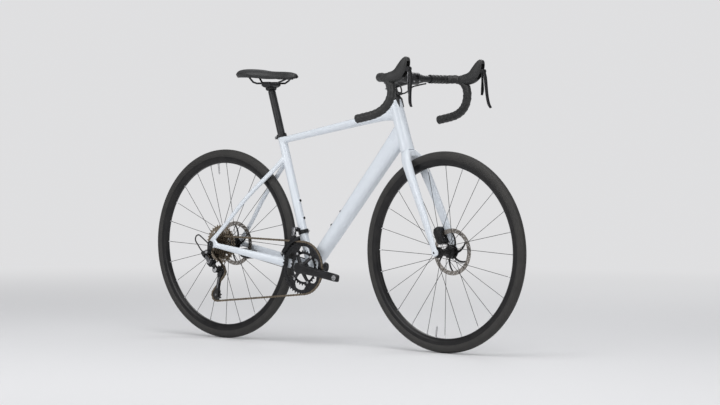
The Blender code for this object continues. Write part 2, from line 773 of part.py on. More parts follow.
def inner_chainring():
    outline = plain_toothed_outline(INNER_TEETH)
    piece = put(
        "inner_chainring",
        plate(outline, -INNER_RING_Y - RING_HALF, -INNER_RING_Y + RING_HALF, BB), BLACK_SATIN, BB,
    )
    return cut(piece, plate(arc(0.0490, 0, 2 * math.pi * 15 / 16, 16), 0.030, 0.060, BB), "inner_ring_opening")


# Cranks and bottom bracket

ARM_LEFT = 0.0655
ARM_FACE = 0.0740
BOSS_START = 0.0456
PEDAL_THREAD_RADIUS = 0.0072


def crank_arm(side, turn):
    """A forged arm that tapers to the pedal end, lofted along its length."""
    along = Vector((math.cos(turn), 0, math.sin(turn)))
    up = along.cross(Y_AXIS)
    stations = [
        (-0.0200, 0.0095, 0.0062), (-0.0110, 0.0180, 0.0078), (0.0350, 0.0160, 0.0080),
        (0.1000, 0.0140, 0.0072), (CRANK_LENGTH + 0.0060, 0.0135, 0.0062), (CRANK_LENGTH + 0.0145, 0.0075, 0.0045),
    ]
    rings = []
    for reach, half_up, half_left in stations:
        centre = BB + along * reach + Y_AXIS * side * ARM_LEFT
        rings.append(oval(centre, Y_AXIS, up, half_left, half_up, 8, 3.0))
    return add_rings(bmesh.new(), rings)


def pedal_end(side, turn):
    centre = BB + Vector((math.cos(turn), 0, math.sin(turn))) * CRANK_LENGTH
    low, high = sorted((side * (ARM_LEFT - 0.0075), side * ARM_FACE))
    boss = rod(0.0128, low, high, centre, Y_AXIS, 10)
    low, high = sorted((side * (ARM_LEFT - 0.02), side * (ARM_FACE + 0.01)))
    hole = rod(PEDAL_THREAD_RADIUS, low, high, centre, Y_AXIS, 8)
    return boss, hole


def right_crank():
    piece = put("right_crank", crank_arm(-1, CRANK_ANGLE), BLACK_SATIN, BB)
    boss, hole = pedal_end(-1, CRANK_ANGLE)
    join(piece, boss, "right_pedal_boss")
    join(piece, rod(0.0205, -ARM_FACE + 0.001, -BOSS_START, BB, Y_AXIS, 12), "spider_boss")
    spider = bmesh.new()
    for turn in SPIDER_ANGLES:
        angle = CRANK_ANGLE + turn
        out = Vector((math.cos(angle), 0, math.sin(angle)))
        arm = [
            (0.0170, 0.0465), (0.0340, 0.0462), (0.0355, RING_SEAT), (BOLT_CIRCLE + 0.0060, RING_SEAT),
            (BOLT_CIRCLE + 0.0060, RING_SEAT + 0.0040), (0.0425, RING_SEAT + 0.0046), (0.0390, 0.0545),
            (0.0170, 0.0565),
        ]
        add_plate(spider, arm, -0.0060, 0.0060, BB, out, -Y_AXIS)
    join(piece, spider, "spider")
    join(piece, rod(SPINDLE_RADIUS, -0.060, 0.0725, BB, Y_AXIS, SPINDLE_SIDES), "spindle")
    return cut(piece, hole, "right_pedal_thread")


def left_crank():
    turn = CRANK_ANGLE + math.pi
    piece = put("left_crank", crank_arm(1, turn), BLACK_SATIN, BB)
    boss, hole = pedal_end(1, turn)
    join(piece, boss, "left_pedal_boss")
    join(piece, rod(0.0190, BOSS_START, ARM_FACE - 0.001, BB, Y_AXIS, 12), "left_boss")
    cut(piece, rod(SPINDLE_RADIUS + GAP, 0.03, 0.09, BB, Y_AXIS, SPINDLE_SIDES), "spindle_bore")
    return cut(piece, hole, "left_pedal_thread")


def bottom_bracket():
    """Two threaded cups outside the shell, joined by the sleeve that keeps dirt off the spindle."""
    shell = BB_SHELL_WIDTH / 2 + GAP
    bore = SPINDLE_RADIUS / math.cos(math.pi / SPINDLE_SIDES) + GAP
    outer = BOSS_START - 0.0006
    profile = [
        (bore, -outer), (0.0215, -outer), (0.0215, -shell), (BB_BORE - 0.0004, -shell),
        (BB_BORE - 0.0004, shell), (0.0215, shell), (0.0215, outer), (bore, outer),
    ]
    return put("bottom_bracket", turned(profile, BB, Y_AXIS, SPINDLE_SIDES, ring=True), BLACK_SATIN)


POCKET_DEPTH = 0.0072


def chain():
    """The loop of links between its pins. Each link has a pocket for a tooth, on the side of its wheel."""
    mesh = bmesh.new()
    count = len(PINS)
    edges, pockets = [], []
    for i, pin in enumerate(PINS):
        following = PINS[(i + 1) % count]
        along = (following - PINS[i - 1]).normalized()
        up = along.cross(Y_AXIS).normalized()
        edges.append([
            [mesh.verts.new(pin + Y_AXIS * side * CHAIN_HALF_WIDTH + up * level * CHAIN_HALF_HEIGHT)
             for level in (1, -1)] for side in (1, -1)
        ])
        along = (following - pin).normalized()
        inward = along.cross(Y_AXIS).normalized() * PIN_TURNS[i]
        opening = inward * CHAIN_HALF_HEIGHT
        places = (
            pin + along * ROLLER_RADIUS + opening, following - along * ROLLER_RADIUS + opening,
            (pin + following) / 2 + opening - inward * POCKET_DEPTH,
        )
        pockets.append([
            [mesh.verts.new(place + Y_AXIS * side * CHAIN_HALF_SLOT) for side in (1, -1)] for place in places
        ])
    for i in range(count):
        edge, after = edges[i], edges[(i + 1) % count]
        start, end, root = pockets[i]
        inner = 0 if PIN_TURNS[i] > 0 else 1
        for side in (0, 1):
            mesh.faces.new((edge[side][0], after[side][0], after[side][1], edge[side][1]))
            mesh.faces.new((edge[side][inner], after[side][inner], end[side], start[side]))
            mesh.faces.new((start[side], end[side], root[side]))
        mesh.faces.new((edge[0][1 - inner], after[0][1 - inner], after[1][1 - inner], edge[1][1 - inner]))
        mesh.faces.new((start[0], start[1], root[1], root[0]))
        mesh.faces.new((end[0], end[1], root[1], root[0]))

        # The bar across each pin, between the pockets before and after it
        if PIN_TURNS[i - 1] == PIN_TURNS[i]:
            last = pockets[i - 1][1]
            mesh.faces.new((edge[0][inner], last[0], last[1], edge[1][inner], start[1], start[0]))
        else:
            last = pockets[i - 1][1]
            mesh.faces.new((edge[0][inner], edge[1][inner], start[1], start[0]))
            mesh.faces.new((edge[0][1 - inner], edge[1][1 - inner], last[1], last[0]))
    return put("chain", mesh, CHAIN_STEEL)


# Fork and headset

STEM_CENTRE = HEAD_TUBE_LENGTH + SPACER_HEIGHT + 0.0215
STEM_HEIGHT = 0.040
STEERER_TOP = STEM_CENTRE + STEM_HEIGHT / 2 - 0.003
FORK_END = 0.0095
LEG_ROUTE = [
    # along the steerer, forward, left, half depth, half width
    (-0.0080, 0.0020, 0.0120, 0.0200, 0.0150),
    (-0.0370, 0.0120, 0.0345, 0.0195, 0.0125),
    (-0.0900, 0.0205, 0.0430, 0.0180, 0.0112),
    (-0.2200, 0.0372, 0.0502, 0.0150, 0.0092),
    (-0.3450, 0.0485, 0.0552, 0.0125, 0.0050),
    (-FORK_LENGTH - 0.0120, FORK_OFFSET + 0.0015, 0.0552, 0.0110, 0.0048),
]
BLADE_POWER = 2.3


def fork():
    """A one-piece fork: the tapered steerer, the crown over the tyre and two blades raked forward."""
    profile = [
        (0.0245, -0.0075), (0.0252, -GAP), (LOWER_STEERER_RADIUS, 0.0), (LOWER_STEERER_RADIUS, 0.012),
        (STEERER_RADIUS, 0.070), (STEERER_RADIUS, STEERER_TOP),
    ]
    piece = put("fork", turned(profile, HEAD_BOTTOM, STEER_AXIS, 12), WHITE, HEAD_BOTTOM)
    join(piece, tube([on_steerer(-0.005), on_steerer(-0.0270, 0.004)], [(0.024, 0.023), (0.018, 0.019)], 8),
         "crown")
    for side in (-1, 1):
        rings = []
        for along, forward, left, half_depth, half_width in LEG_ROUTE:
            centre = on_steerer(along, forward, left * side)
            rings.append(oval(centre, Y_AXIS, STEER_FRONT, half_width, half_depth, 8, BLADE_POWER))
        join(piece, add_rings(bmesh.new(), rings), "left_blade" if side > 0 else "right_blade")
    tips = bmesh.new()
    inner = FRONT_SPACING / 2
    for start, end in ((inner - 0.0005, inner + FORK_END), (-inner - FORK_END, -inner + 0.0005)):
        add_turned(tips, [(0.0135, start), (0.0135, end)], FRONT_HUB, Y_AXIS, 10)
    join(piece, tips, "fork_ends")

    # One tool clears the hub and its rotor between the ends and bores both for the axle
    bore = AXLE_RADIUS + GAP
    profile = [(bore, -0.1), (bore, -inner), (0.0465, -inner), (0.0465, inner), (bore, inner), (bore, 0.1)]
    return cut(piece, turned(profile, FRONT_HUB, Y_AXIS, 8), "fork_bores")


def headset():
    """Two cartridge bearings in the head tube, and the cover above with its two hose guides."""
    snug = 1 / math.cos(math.pi / 12)
    bore = (LOWER_STEERER_RADIUS + GAP) * snug
    profile = [(bore, 0.0008), (LOWER_BEARING_BORE - GAP, 0.0008), (LOWER_BEARING_BORE - GAP, 0.0082),
               (bore, 0.0082)]
    put("lower_headset_bearing", turned(profile, HEAD_BOTTOM, STEER_AXIS, 12, ring=True), STEEL)
    bore = (STEERER_RADIUS + GAP) * snug
    top = HEAD_TUBE_LENGTH - 0.0005
    profile = [(bore, top - BEARING_HEIGHT), (HEAD_BORE - GAP, top - BEARING_HEIGHT), (HEAD_BORE - GAP, top),
               (bore, top)]
    put("upper_headset_bearing", turned(profile, HEAD_BOTTOM, STEER_AXIS, 12, ring=True), STEEL)

    low = HEAD_TUBE_LENGTH + GAP
    profile = [(bore, low), (0.0245, low), (0.0238, low + 0.0070), (bore, low + 0.0070)]
    piece = put("headset_cover", turned(profile, HEAD_BOTTOM, STEER_AXIS, 12, ring=True), BLACK_PLASTIC)
    tongues = bmesh.new()
    reach = NOTCH_HALF_WIDTH - GAP * 1.5
    for side in (-1, 1):
        out = STEER_FRONT * math.cos(NOTCH_ANGLE) + Y_AXIS * side * math.sin(NOTCH_ANGLE)
        across = STEER_AXIS.cross(out)
        outline = [(-reach, 0.004), (-reach, -GAP), (0, -NOTCH_DEPTH + 4 * GAP), (reach, -GAP), (reach, 0.004)]
        add_plate(tongues, outline, 0.0216, 0.0262, on_steerer(HEAD_TUBE_LENGTH), across, STEER_AXIS)
    return join(piece, tongues, "hose_guides")


def steerer_spacer():
    """The tapered spacer that turns with the stem, above the fixed cover."""
    bore = STEERER_RADIUS + GAP
    low = HEAD_TUBE_LENGTH + 0.0076
    high = STEM_CENTRE - STEM_HEIGHT / 2 - GAP
    profile = [(bore, low), (0.0236, low), (0.0205, low + 0.012), (0.0188, high), (bore, high)]
    return put("steerer_spacer", turned(profile, HEAD_BOTTOM, STEER_AXIS, 12, ring=True), BLACK_PLASTIC, HEAD_BOTTOM)


# Stem and handlebar

STEM_DIP = math.radians(7)
STEM_ALONG = STEER_FRONT * math.cos(STEM_DIP) - STEER_AXIS * math.sin(STEM_DIP)
STEM_UP = STEM_ALONG.cross(-Y_AXIS)
STEM_BASE = on_steerer(STEM_CENTRE)
BAR_CENTRE = STEM_BASE + STEM_ALONG * STEM_LENGTH
CLAMP_RADIUS = 0.0215
CLAMP_HALF_WIDTH = 0.0215
BAR_SIDES = 8


def bar_bore():
    """The bore of the bar clamp, with as many sides as the bar."""
    return rod(BAR_CLAMP_RADIUS + GAP, -0.03, 0.03, BAR_CENTRE, Y_AXIS, BAR_SIDES)


def stem():
    arm = [(0.010, 0.0165, 0.0165), (STEM_LENGTH * 0.45, 0.0150, 0.0150), (STEM_LENGTH - 0.0250, 0.0165, 0.0155),
           (STEM_LENGTH - 0.0155, 0.0200, 0.0175)]
    points = [STEM_BASE + STEM_ALONG * reach for reach, _, _ in arm]
    sizes = [(half_left, half_up) for _, half_left, half_up in arm]
    piece = put("stem", tube(points, sizes, 10, power=2.6), BLACK_SATIN, HEAD_BOTTOM)
    low, high = STEM_CENTRE - STEM_HEIGHT / 2, STEM_CENTRE + STEM_HEIGHT / 2
    join(piece, turned([(0.0185, low), (0.0190, low + 0.004), (0.0190, high - 0.004), (0.0182, high)],
                       HEAD_BOTTOM, STEER_AXIS, 12), "steerer_clamp")
    join(piece, rod(CLAMP_RADIUS, -CLAMP_HALF_WIDTH, CLAMP_HALF_WIDTH, BAR_CENTRE, Y_AXIS, 12), "bar_clamp")
    cut(piece, rod(STEERER_RADIUS + GAP, low - 0.01, high + 0.01, HEAD_BOTTOM, STEER_AXIS, 12), "steerer_bore")
    cut(piece, bar_bore(), "bar_bore")
    front = [(0.0008, -0.03), (0.04, -0.03), (0.04, 0.03), (0.0008, 0.03)]
    return cut(piece, plate(front, -0.03, 0.03, BAR_CENTRE, STEM_ALONG, STEM_UP), "faceplate_room")


def stem_faceplate():
    body = rod(CLAMP_RADIUS, -CLAMP_HALF_WIDTH, CLAMP_HALF_WIDTH, BAR_CENTRE, Y_AXIS, 12)
    piece = put("stem_faceplate", body, BLACK_SATIN, HEAD_BOTTOM)
    cut(piece, bar_bore(), "faceplate_bore")
    behind = [(-0.04, -0.03), (0.0024, -0.03), (0.0024, 0.03), (-0.04, 0.03)]
    cut(piece, plate(behind, -0.03, 0.03, BAR_CENTRE, STEM_ALONG, STEM_UP), "stem_room")
    window = [(0.010, -0.0065), (0.03, -0.0065), (0.03, 0.0065), (0.010, 0.0065)]
    return cut(piece, plate(window, -0.009, 0.009, BAR_CENTRE, STEM_ALONG, STEM_UP), "faceplate_window")


def stem_top_cap():
    low = STEM_CENTRE + STEM_HEIGHT / 2 + GAP
    plug = STEERER_RADIUS - 0.0007
    profile = [(plug - 0.0006, STEERER_TOP + 0.0010), (plug, low), (0.0178, low), (0.0178, low + 0.0022),
               (0.0165, low + 0.0036)]
    return put("stem_top_cap", turned(profile, HEAD_BOTTOM, STEER_AXIS, 12), BLACK_SATIN, HEAD_BOTTOM)


BAR_CORNERS = [
    # forward of the clamp, above the clamp, left
    (0.0000, 0.0000, 0.0900), (0.0000, 0.0000, 0.1600), (0.0090, 0.0000, 0.1840), (0.0330, 0.0000, 0.1975),
    (0.0570, -0.0080, 0.2005), (0.0720, -0.0260, 0.2015), (0.0765, -0.0490, 0.2035), (0.0710, -0.0760, 0.2065),
    (0.0560, -0.0990, 0.2105), (0.0330, -0.1160, 0.2145), (0.0000, -0.1280, 0.2180),
    (-0.0620, -0.1400, DROP_HALF_WIDTH),
]


TAPE_WALL = 0.0036


def bar_side(side=1):
    """The corners of one side of the bar, from where the tape begins to the end of the drop."""
    return [BAR_CENTRE + Vector((forward, left * side, up)) for forward, up, left in BAR_CORNERS]


def left_bar_rings(extra=0.0):
    """Rings of the left half of the bar from its middle, or of a bore round it."""
    middle = [(0.0350, BAR_CLAMP_RADIUS), (0.0600, BAR_RADIUS)]
    points = [BAR_CENTRE + Y_AXIS * left for left, _ in middle] + bar_side()
    radii = [radius for _, radius in middle] + [BAR_RADIUS] * len(BAR_CORNERS)
    sizes = [(radius + extra, radius + extra) for radius in radii]
    return tube_rings(points, sizes, BAR_SIDES, Z_AXIS)


def flipped(rings):
    """The same rings on the other side of the bike."""
    return [[Vector((x, -y, z)) for x, y, z in ring] for ring in rings]


def handlebar():
    """A compact drop bar: a thick middle, round tops, and hooks that flare to the ends."""
    left = left_bar_rings()
    rings = flipped(left)[::-1] + left
    return put("handlebar", add_rings(bmesh.new(), rings), BLACK_SATIN, HEAD_BOTTOM)


def bar_tape(name, side):
    """The sleeve of tape from beside the stem to the end of the drop, round a bore that holds the bar."""
    rings = left_bar_rings(TAPE_WALL)[2:]
    bore = left_bar_rings(2 * GAP)[1:]
    past_end = (bar_side()[-1] - bar_side()[-2]).normalized() * 0.003
    bore.append([point + past_end for point in bore[-1]])
    if side < 0:
        rings, bore = flipped(rings), flipped(bore)
    piece = put(name, add_rings(bmesh.new(), rings), TAPE, HEAD_BOTTOM)
    return cut(piece, add_rings(bmesh.new(), bore), name + "_bore")


HOOD_ROUTE = [
    # forward of the clamp, above the clamp, half width, half height
    (0.0480, 0.0040, 0.0150, 0.0120),
    (0.0640, 0.0010, 0.0185, 0.0205),
    (0.0880, 0.0100, 0.0175, 0.0205),
    (0.1100, 0.0260, 0.0165, 0.0205),
    (0.1270, 0.0430, 0.0165, 0.0200),
    (0.1370, 0.0580, 0.0150, 0.0160),
    (0.1410, 0.0680, 0.0100, 0.0090),
]
LEVER_PIVOT = Vector((0.1465, HOOD_HALF_WIDTH, 0.0270))
LEVER_SLOT_RADIUS = 0.0290
LEVER_SLOT_HALF = 0.0092
LEVER_HALF = 0.0089


def at_bar(forward, left, up):
    return BAR_CENTRE + Vector((forward, left, up))


def hood(name, side):
    """The lever body under its rubber hood, with the horn in front and a slot for the lever."""
    points = [at_bar(forward, HOOD_HALF_WIDTH * side, up) for forward, up, _, _ in HOOD_ROUTE]
    sizes = [(half_width, half_height) for _, _, half_width, half_height in HOOD_ROUTE]
    piece = put(name, tube(points, sizes, 8, power=2.3), RUBBER, HEAD_BOTTOM)
    bore = left_bar_rings(TAPE_WALL + 2 * GAP)[3:-4]
    if side < 0:
        bore = flipped(bore)
    cut(piece, add_rings(bmesh.new(), bore), name + "_bar_bore")
    pivot = at_bar(LEVER_PIVOT.x, LEVER_PIVOT.y * side, LEVER_PIVOT.z)
    return cut(piece, rod(LEVER_SLOT_RADIUS, -LEVER_SLOT_HALF, LEVER_SLOT_HALF, pivot, Y_AXIS, 16), name + "_slot")


LEVER_ROUTE = [
    # forward of the clamp, above the clamp, left, half width, half thickness
    (0.1480, 0.0330, 0.2010, 0.0075, 0.0050),
    (0.1560, 0.0080, 0.2015, 0.0075, 0.0048),
    (0.1590, -0.0250, 0.2040, 0.0070, 0.0042),
    (0.1600, -0.0560, 0.2080, 0.0068, 0.0038),
    (0.1640, -0.0840, 0.2120, 0.0070, 0.0036),
    (0.1720, -0.1000, 0.2150, 0.0060, 0.0030),
]


def brake_lever(name, side):
    """The curved lever blade, with the head that turns on the pin in the lever body."""
    pivot = at_bar(LEVER_PIVOT.x, LEVER_PIVOT.y * side, LEVER_PIVOT.z)
    points = [at_bar(forward, left * side, up) for forward, up, left, _, _ in LEVER_ROUTE]
    sizes = [(half_width, half_thickness) for _, _, _, half_width, half_thickness in LEVER_ROUTE]
    piece = put(name, tube(points, sizes, 6, power=2.6), BLACK_SATIN, pivot)
    return join(piece, rod(0.0085, -LEVER_HALF, LEVER_HALF, pivot, Y_AXIS, 10), name + "_head")


SHIFT_PIVOT = Vector((0.1446, 0.1985, 0.0130))


def shift_lever(name, side):
    """The small shift paddle behind the brake lever, which swings inwards about its top."""
    pivot = at_bar(SHIFT_PIVOT.x, SHIFT_PIVOT.y * side, SHIFT_PIVOT.z)
    route = [(0.1446, 0.0176, 0.1985), (0.1466, -0.0060, 0.1985), (0.1480, -0.0360, 0.1975), (0.1460, -0.0560, 0.1965)]
    points = [at_bar(forward, left * side, up) for forward, up, left in route]
    sizes = [(0.0035, 0.0030), (0.0055, 0.0024), (0.0085, 0.0020), (0.0060, 0.0018)]
    return put(name, tube(points, sizes, 8, power=2.4), BLACK_SATIN, pivot)


HOSE_RADIUS = 0.0026


def handlebar_hoses():
    """The hoses that leave the tape on both sides and meet in the clip at the front of the spacer."""
    clip = on_steerer(HEAD_TUBE_LENGTH + 0.0170, 0.0252)
    block = [(-0.0022, -0.0050), (0.0060, -0.0050), (0.0060, 0.0050), (-0.0022, 0.0050)]
    piece = put("handlebar_hoses", plate(block, -0.0110, 0.0110, clip, STEER_FRONT, STEER_AXIS), HOSE, HEAD_BOTTOM)
    for side in (-1, 1):
        route = [
            clip + Vector((0.002, 0.0070 * side, 0.000)), clip + Vector((0.022, 0.0130 * side, 0.0010)),
            at_bar(-0.0280, 0.0330 * side, -0.0240), at_bar(-0.0140, 0.0600 * side, -0.0200),
            at_bar(-0.0100, 0.0830 * side, -0.0160),
        ]
        join(piece, tube(route, HOSE_RADIUS, 6, across=Z_AXIS), f"hose_{side}")
    return piece


# Seatpost and saddle

POST_BOTTOM = 0.300
TILT_ALONG = 0.667
TILT = on_seat_tube(TILT_ALONG)
TILT_RADIUS = 0.0105
RAIL_RADIUS = 0.0035
RAIL_RISE = 0.0165
RAIL_HALF_SPREAD = 0.022


def seat_collar():
    """The split collar about the top of the seat tube, with its bolt behind."""
    low, high = SEAT_TUBE_LENGTH - 0.0125, SEAT_TUBE_LENGTH - GAP
    inner = SEAT_TUBE_RADIUS + GAP
    piece = put("seat_collar", washer(inner, inner + 0.0022, low, high, BB, SEAT_AXIS, SEAT_SIDES), WHITE)
    ears = [(-0.0275, 0.0015), (-0.0165, 0.0015), (-0.0165, 0.0105), (-0.0275, 0.0105)]
    base = on_seat_tube(low)
    join(piece, plate(ears, -0.0075, 0.0075, base, SEAT_FRONT, SEAT_AXIS), "collar_ears")
    slot = [(-0.04, -0.01), (-0.012, -0.01), (-0.012, 0.03), (-0.04, 0.03)]
    cut(piece, plate(slot, -0.0009, 0.0009, base, SEAT_FRONT, SEAT_AXIS), "collar_slot")
    return piece


def seatpost():
    profile = [(SEATPOST_RADIUS, POST_BOTTOM), (SEATPOST_RADIUS, TILT_ALONG - 0.014), (0.0088, TILT_ALONG - 0.003)]
    piece = put("seatpost", turned(profile, BB, SEAT_AXIS, 12), BLACK_SATIN, SEAT_TOP)
    return join(piece, rod(TILT_RADIUS, -0.019, 0.019, TILT, Y_AXIS, 12), "post_head")


def saddle_clamp():
    """The cradle on the post's head that grips both rails, and turns to tilt the saddle."""
    outline = [(-0.020, 0.0020), (-0.0165, 0.0010), (0.0165, 0.0010), (0.020, 0.0020), (0.0205, 0.0205), (0.014, 0.0225),
               (-0.014, 0.0225), (-0.0205, 0.0205)]
    piece = put("saddle_clamp", plate(outline, -0.0290, 0.0290, TILT), BLACK_SATIN, TILT)
    tools = bmesh.new()
    add_turned(tools, [((TILT_RADIUS + GAP) / math.cos(math.pi / 16), -0.0196),
                       ((TILT_RADIUS + GAP) / math.cos(math.pi / 16), 0.0196)], TILT, Y_AXIS, 16)
    for side in (-1, 1):
        centre = TILT + Vector((0, RAIL_HALF_SPREAD * side, RAIL_RISE))
        add_turned(tools, [(RAIL_RADIUS + GAP, -0.05), (RAIL_RADIUS + GAP, 0.05)], centre, X_AXIS, 8)
    cut(piece, tools, "clamp_bores")
    return piece


RAIL_ROUTE = [
    # forward of the tilt axis, left, above it
    (0.0900, 0.0045, 0.0345), (0.0870, 0.0085, 0.0340), (0.0700, 0.0165, 0.0250),
    (0.0480, RAIL_HALF_SPREAD, RAIL_RISE), (-0.0500, RAIL_HALF_SPREAD, RAIL_RISE), (-0.0660, 0.0235, 0.0215),
    (-0.0800, 0.0262, 0.0360), (-0.0900, 0.0280, 0.0470),
]


def rail_tube(radius):
    left = [TILT + Vector(point) for point in RAIL_ROUTE]
    right = [Vector((x, -y, z)) for x, y, z in left]
    return tube(left[::-1] + right, radius, 6, across=Z_AXIS)


def saddle_rails():
    """One bent rod: two straight rails, joined at the nose and turned up into the tail of the shell."""
    return put("saddle_rails", rail_tube(RAIL_RADIUS), STEEL, TILT)


SADDLE_TAIL = -0.128
SADDLE_STATIONS = [
    # share of the length from the tail, height of the crown, share of the width, depth of the skirt
    (0.000, 0.0640, 0.575, 0.0120),
    (0.035, 0.0665, 0.781, 0.0190),
    (0.120, 0.0690, 0.959, 0.0240),
    (0.255, 0.0675, 1.000, 0.0270),
    (0.390, 0.0635, 0.822, 0.0280),
    (0.515, 0.0600, 0.562, 0.0280),
    (0.642, 0.0585, 0.390, 0.0270),
    (0.776, 0.0575, 0.308, 0.0250),
    (0.895, 0.0550, 0.267, 0.0220),
    (0.966, 0.0505, 0.205, 0.0150),
    (1.000, 0.0460, 0.110, 0.0070),
]
SHELL_DROP = 0.0125


def saddle_station(share, crown, width, skirt):
    """The place of a station along the saddle, and its sizes."""
    forward = SADDLE_TAIL + share * SADDLE_LENGTH
    return forward, crown, width * SADDLE_WIDTH / 2, skirt


def saddle_padding():
    """The foam under its cover: crowned on top, with sides that draw in towards the shell's edge."""
    rings = []
    for station in SADDLE_STATIONS:
        forward, crown, half, skirt = saddle_station(*station)
        inner = min(SHELL_DROP, skirt * 0.8)
        side = [
            (0.30, -0.0006), (0.62, -0.0032), (0.86, -0.0085), (1.00, -0.40 * skirt - 0.006), (0.97, -0.75 * skirt),
            (0.86, -skirt), (0.80, -skirt + 0.0010), (0.76, -inner - 0.003), (0.40, -inner),
        ]
        outline = side + [(-x, z) for x, z in reversed(side)]
        rings.append([TILT + Vector((forward, x * half, crown + z)) for x, z in outline])
    return put("saddle_padding", add_rings(bmesh.new(), rings), PAD_COVER, TILT)


def saddle_shell():
    """The stiff base under the padding, with sockets for the rails at the nose and the tail."""
    rings = []
    for station in SADDLE_STATIONS[1:-1]:
        forward, crown, half, skirt = saddle_station(*station)
        top = min(SHELL_DROP, skirt * 0.8) + GAP * 2
        low = max(skirt - 0.002, top + 0.004)
        side = [(0.38, -top), (0.70, -top - 0.0036), (0.745, -low), (0.66, -low), (0.60, -top - 0.0055),
                (0.34, -top - 0.0025)]
        outline = side + [(-x, z) for x, z in reversed(side)]
        rings.append([TILT + Vector((forward, x * half, crown + z)) for x, z in outline])
    piece = put("saddle_shell", add_rings(bmesh.new(), rings), BLACK_PLASTIC, TILT)
    nose = [(0.0790, 0.0290), (0.0970, 0.0290), (0.0970, 0.0402), (0.0790, 0.0415)]
    join(piece, plate(nose, -0.0112, 0.0112, TILT), "nose_socket")
    tail = [(-0.0970, 0.0420), (-0.0830, 0.0400), (-0.0830, 0.0545), (-0.0970, 0.0550)]
    sockets = bmesh.new()
    for side in (-1, 1):
        add_plate(sockets, tail, -0.0075, 0.0075, TILT + Y_AXIS * RAIL_ROUTE[-1][1] * side)
    join(piece, sockets, "tail_sockets")
    return cut(piece, rail_tube(RAIL_RADIUS + GAP), "rail_sockets")


# Brakes

PAD_THICKNESS = 0.0035
PAD_AIR = 0.0006
SLOT_HALF = 0.0056
CALIPER_HALF_WIDTH = 0.0165
CALIPER_FOOT = 0.0150


def caliper(name, hub, rotor_left, centre, along, outward):
    """A flat-mount caliper: a two-piston block over the rotor's edge, with a slot through its middle."""
    outline = [(-0.031, -0.0120), (-0.026, -CALIPER_FOOT), (0.026, -CALIPER_FOOT), (0.031, -0.0120),
               (0.029, 0.0070), (0.018, 0.0140), (-0.018, 0.0140), (-0.029, 0.0070)]
    body = plate(outline, -CALIPER_HALF_WIDTH, CALIPER_HALF_WIDTH, centre, along, outward)
    piece = put(name, body, BLACK_SATIN)
    slot_centre = hub + Y_AXIS * rotor_left
    cut(piece, rod(ROTOR_RADIUS + 0.0020, -0.0016, 0.0016, slot_centre, Y_AXIS, 24), name + "_rotor_slot")
    room = [(-0.0120, -0.03), (0.0120, -0.03), (0.0120, 0.0060), (-0.0120, 0.0060)]
    return cut(piece, plate(room, -SLOT_HALF, SLOT_HALF, centre, along, outward), name + "_pad_room")


def brake_pad(name, centre, along, outward, rotor_left, side):
    start = ROTOR_THICKNESS / 2 + PAD_AIR
    middle = Vector((centre.x, rotor_left + side * (start + PAD_THICKNESS / 2), centre.z))
    outline = [(-0.0110, -0.0100), (0.0110, -0.0100), (0.0115, 0.0045), (-0.0115, 0.0045)]
    return put(name, plate(outline, -PAD_THICKNESS / 2, PAD_THICKNESS / 2, middle, along, outward), STEEL, middle)


def flat_side(half, power):
    """How far the flat side of an eight-sided oval stands from its middle."""
    return half * math.sin(math.radians(67.5)) ** (2 / power)


def brakes():
    """Each caliper stands a hair off its mount: behind the left fork blade, and on the left chainstay."""
    high, low = [
        on_steerer(along, forward - flat_side(half_depth, BLADE_POWER))
        for along, forward, _, half_depth, _ in LEG_ROUTE[3:5]
    ]
    along = (high - low).normalized()
    outward = along.cross(Y_AXIS)
    centre = low.lerp(high, 0.293) + outward * (CALIPER_FOOT + GAP) + Y_AXIS * FRONT_ROTOR_Y
    brake("front", FRONT_HUB, FRONT_ROTOR_Y, centre, along, outward)

    up = (BB - REAR_HUB).normalized().cross(-Y_AXIS)
    front, back = [
        BB.lerp(REAR_HUB, share) + up * flat_side(half_height, STAY_POWER)
        for share, _, _, half_height in STAY_ROUTE[3:]
    ]
    along = (front - back).normalized()
    outward = along.cross(-Y_AXIS)
    centre = back.lerp(front, 0.324) + outward * (CALIPER_FOOT + GAP) + Y_AXIS * REAR_ROTOR_Y
    brake("rear", REAR_HUB, REAR_ROTOR_Y, centre, along, outward)


def brake(end, hub, rotor_left, centre, along, outward):
    caliper(end + "_caliper", hub, rotor_left, centre, along, outward)
    brake_pad(end + "_inner_pad", centre, along, outward, rotor_left, -1)
    brake_pad(end + "_outer_pad", centre, along, outward, rotor_left, 1)


# Rear derailleur

LINK_LENGTH = 0.040
LINK_REST = math.radians(-20)
LINK_AXIS = Vector((0.6, 0, 0.8))
LINK_LEVEL = Vector((0.8, 0, -0.6))
LINK_ALONG = LINK_LEVEL * math.cos(LINK_REST) + Y_AXIS * math.sin(LINK_REST)
OUTER_UPPER_PIVOT = HANGER_BOLT + Vector((-0.0190, -0.0755, -0.0135))
ADJUSTER_END = OUTER_UPPER_PIVOT + Vector((-0.0220, 0.0030, 0.0130))
BARREL_FACE = CHAIN_COG_Y - 0.0078
CAGE_INSIDE = 0.0042
STUD_RADIUS = 0.0050
PULLEY_BOLT = 0.0024
LINK_SPREAD = 0.0130
PIN_RADIUS = 0.0024
LINK_HALF = 0.0085


def pin_tools(pivots, radius, reach, axis):
    tools = bmesh.new()
    for pivot in pivots:
        add_turned(tools, [(radius, -reach), (radius, reach)], pivot, axis, 8)
    return tools


def channel(pivot, facing):
    """The open channel of a knuckle that holds both links by their pins, facing along the links or back."""
    inner, outer = LINK_HALF + GAP, LINK_HALF + GAP + 0.0030
    outline = [(0.0045, inner), (0.0045, outer), (-0.0140, outer), (-0.0140, -outer), (0.0045, -outer),
               (0.0045, -inner), (-0.0060, -inner), (-0.0060, inner)]
    outline = [(x * facing, y) for x, y in outline]
    return plate(outline, -LINK_SPREAD - 0.0050, 0.0050, pivot, LINK_LEVEL, LINK_AXIS)


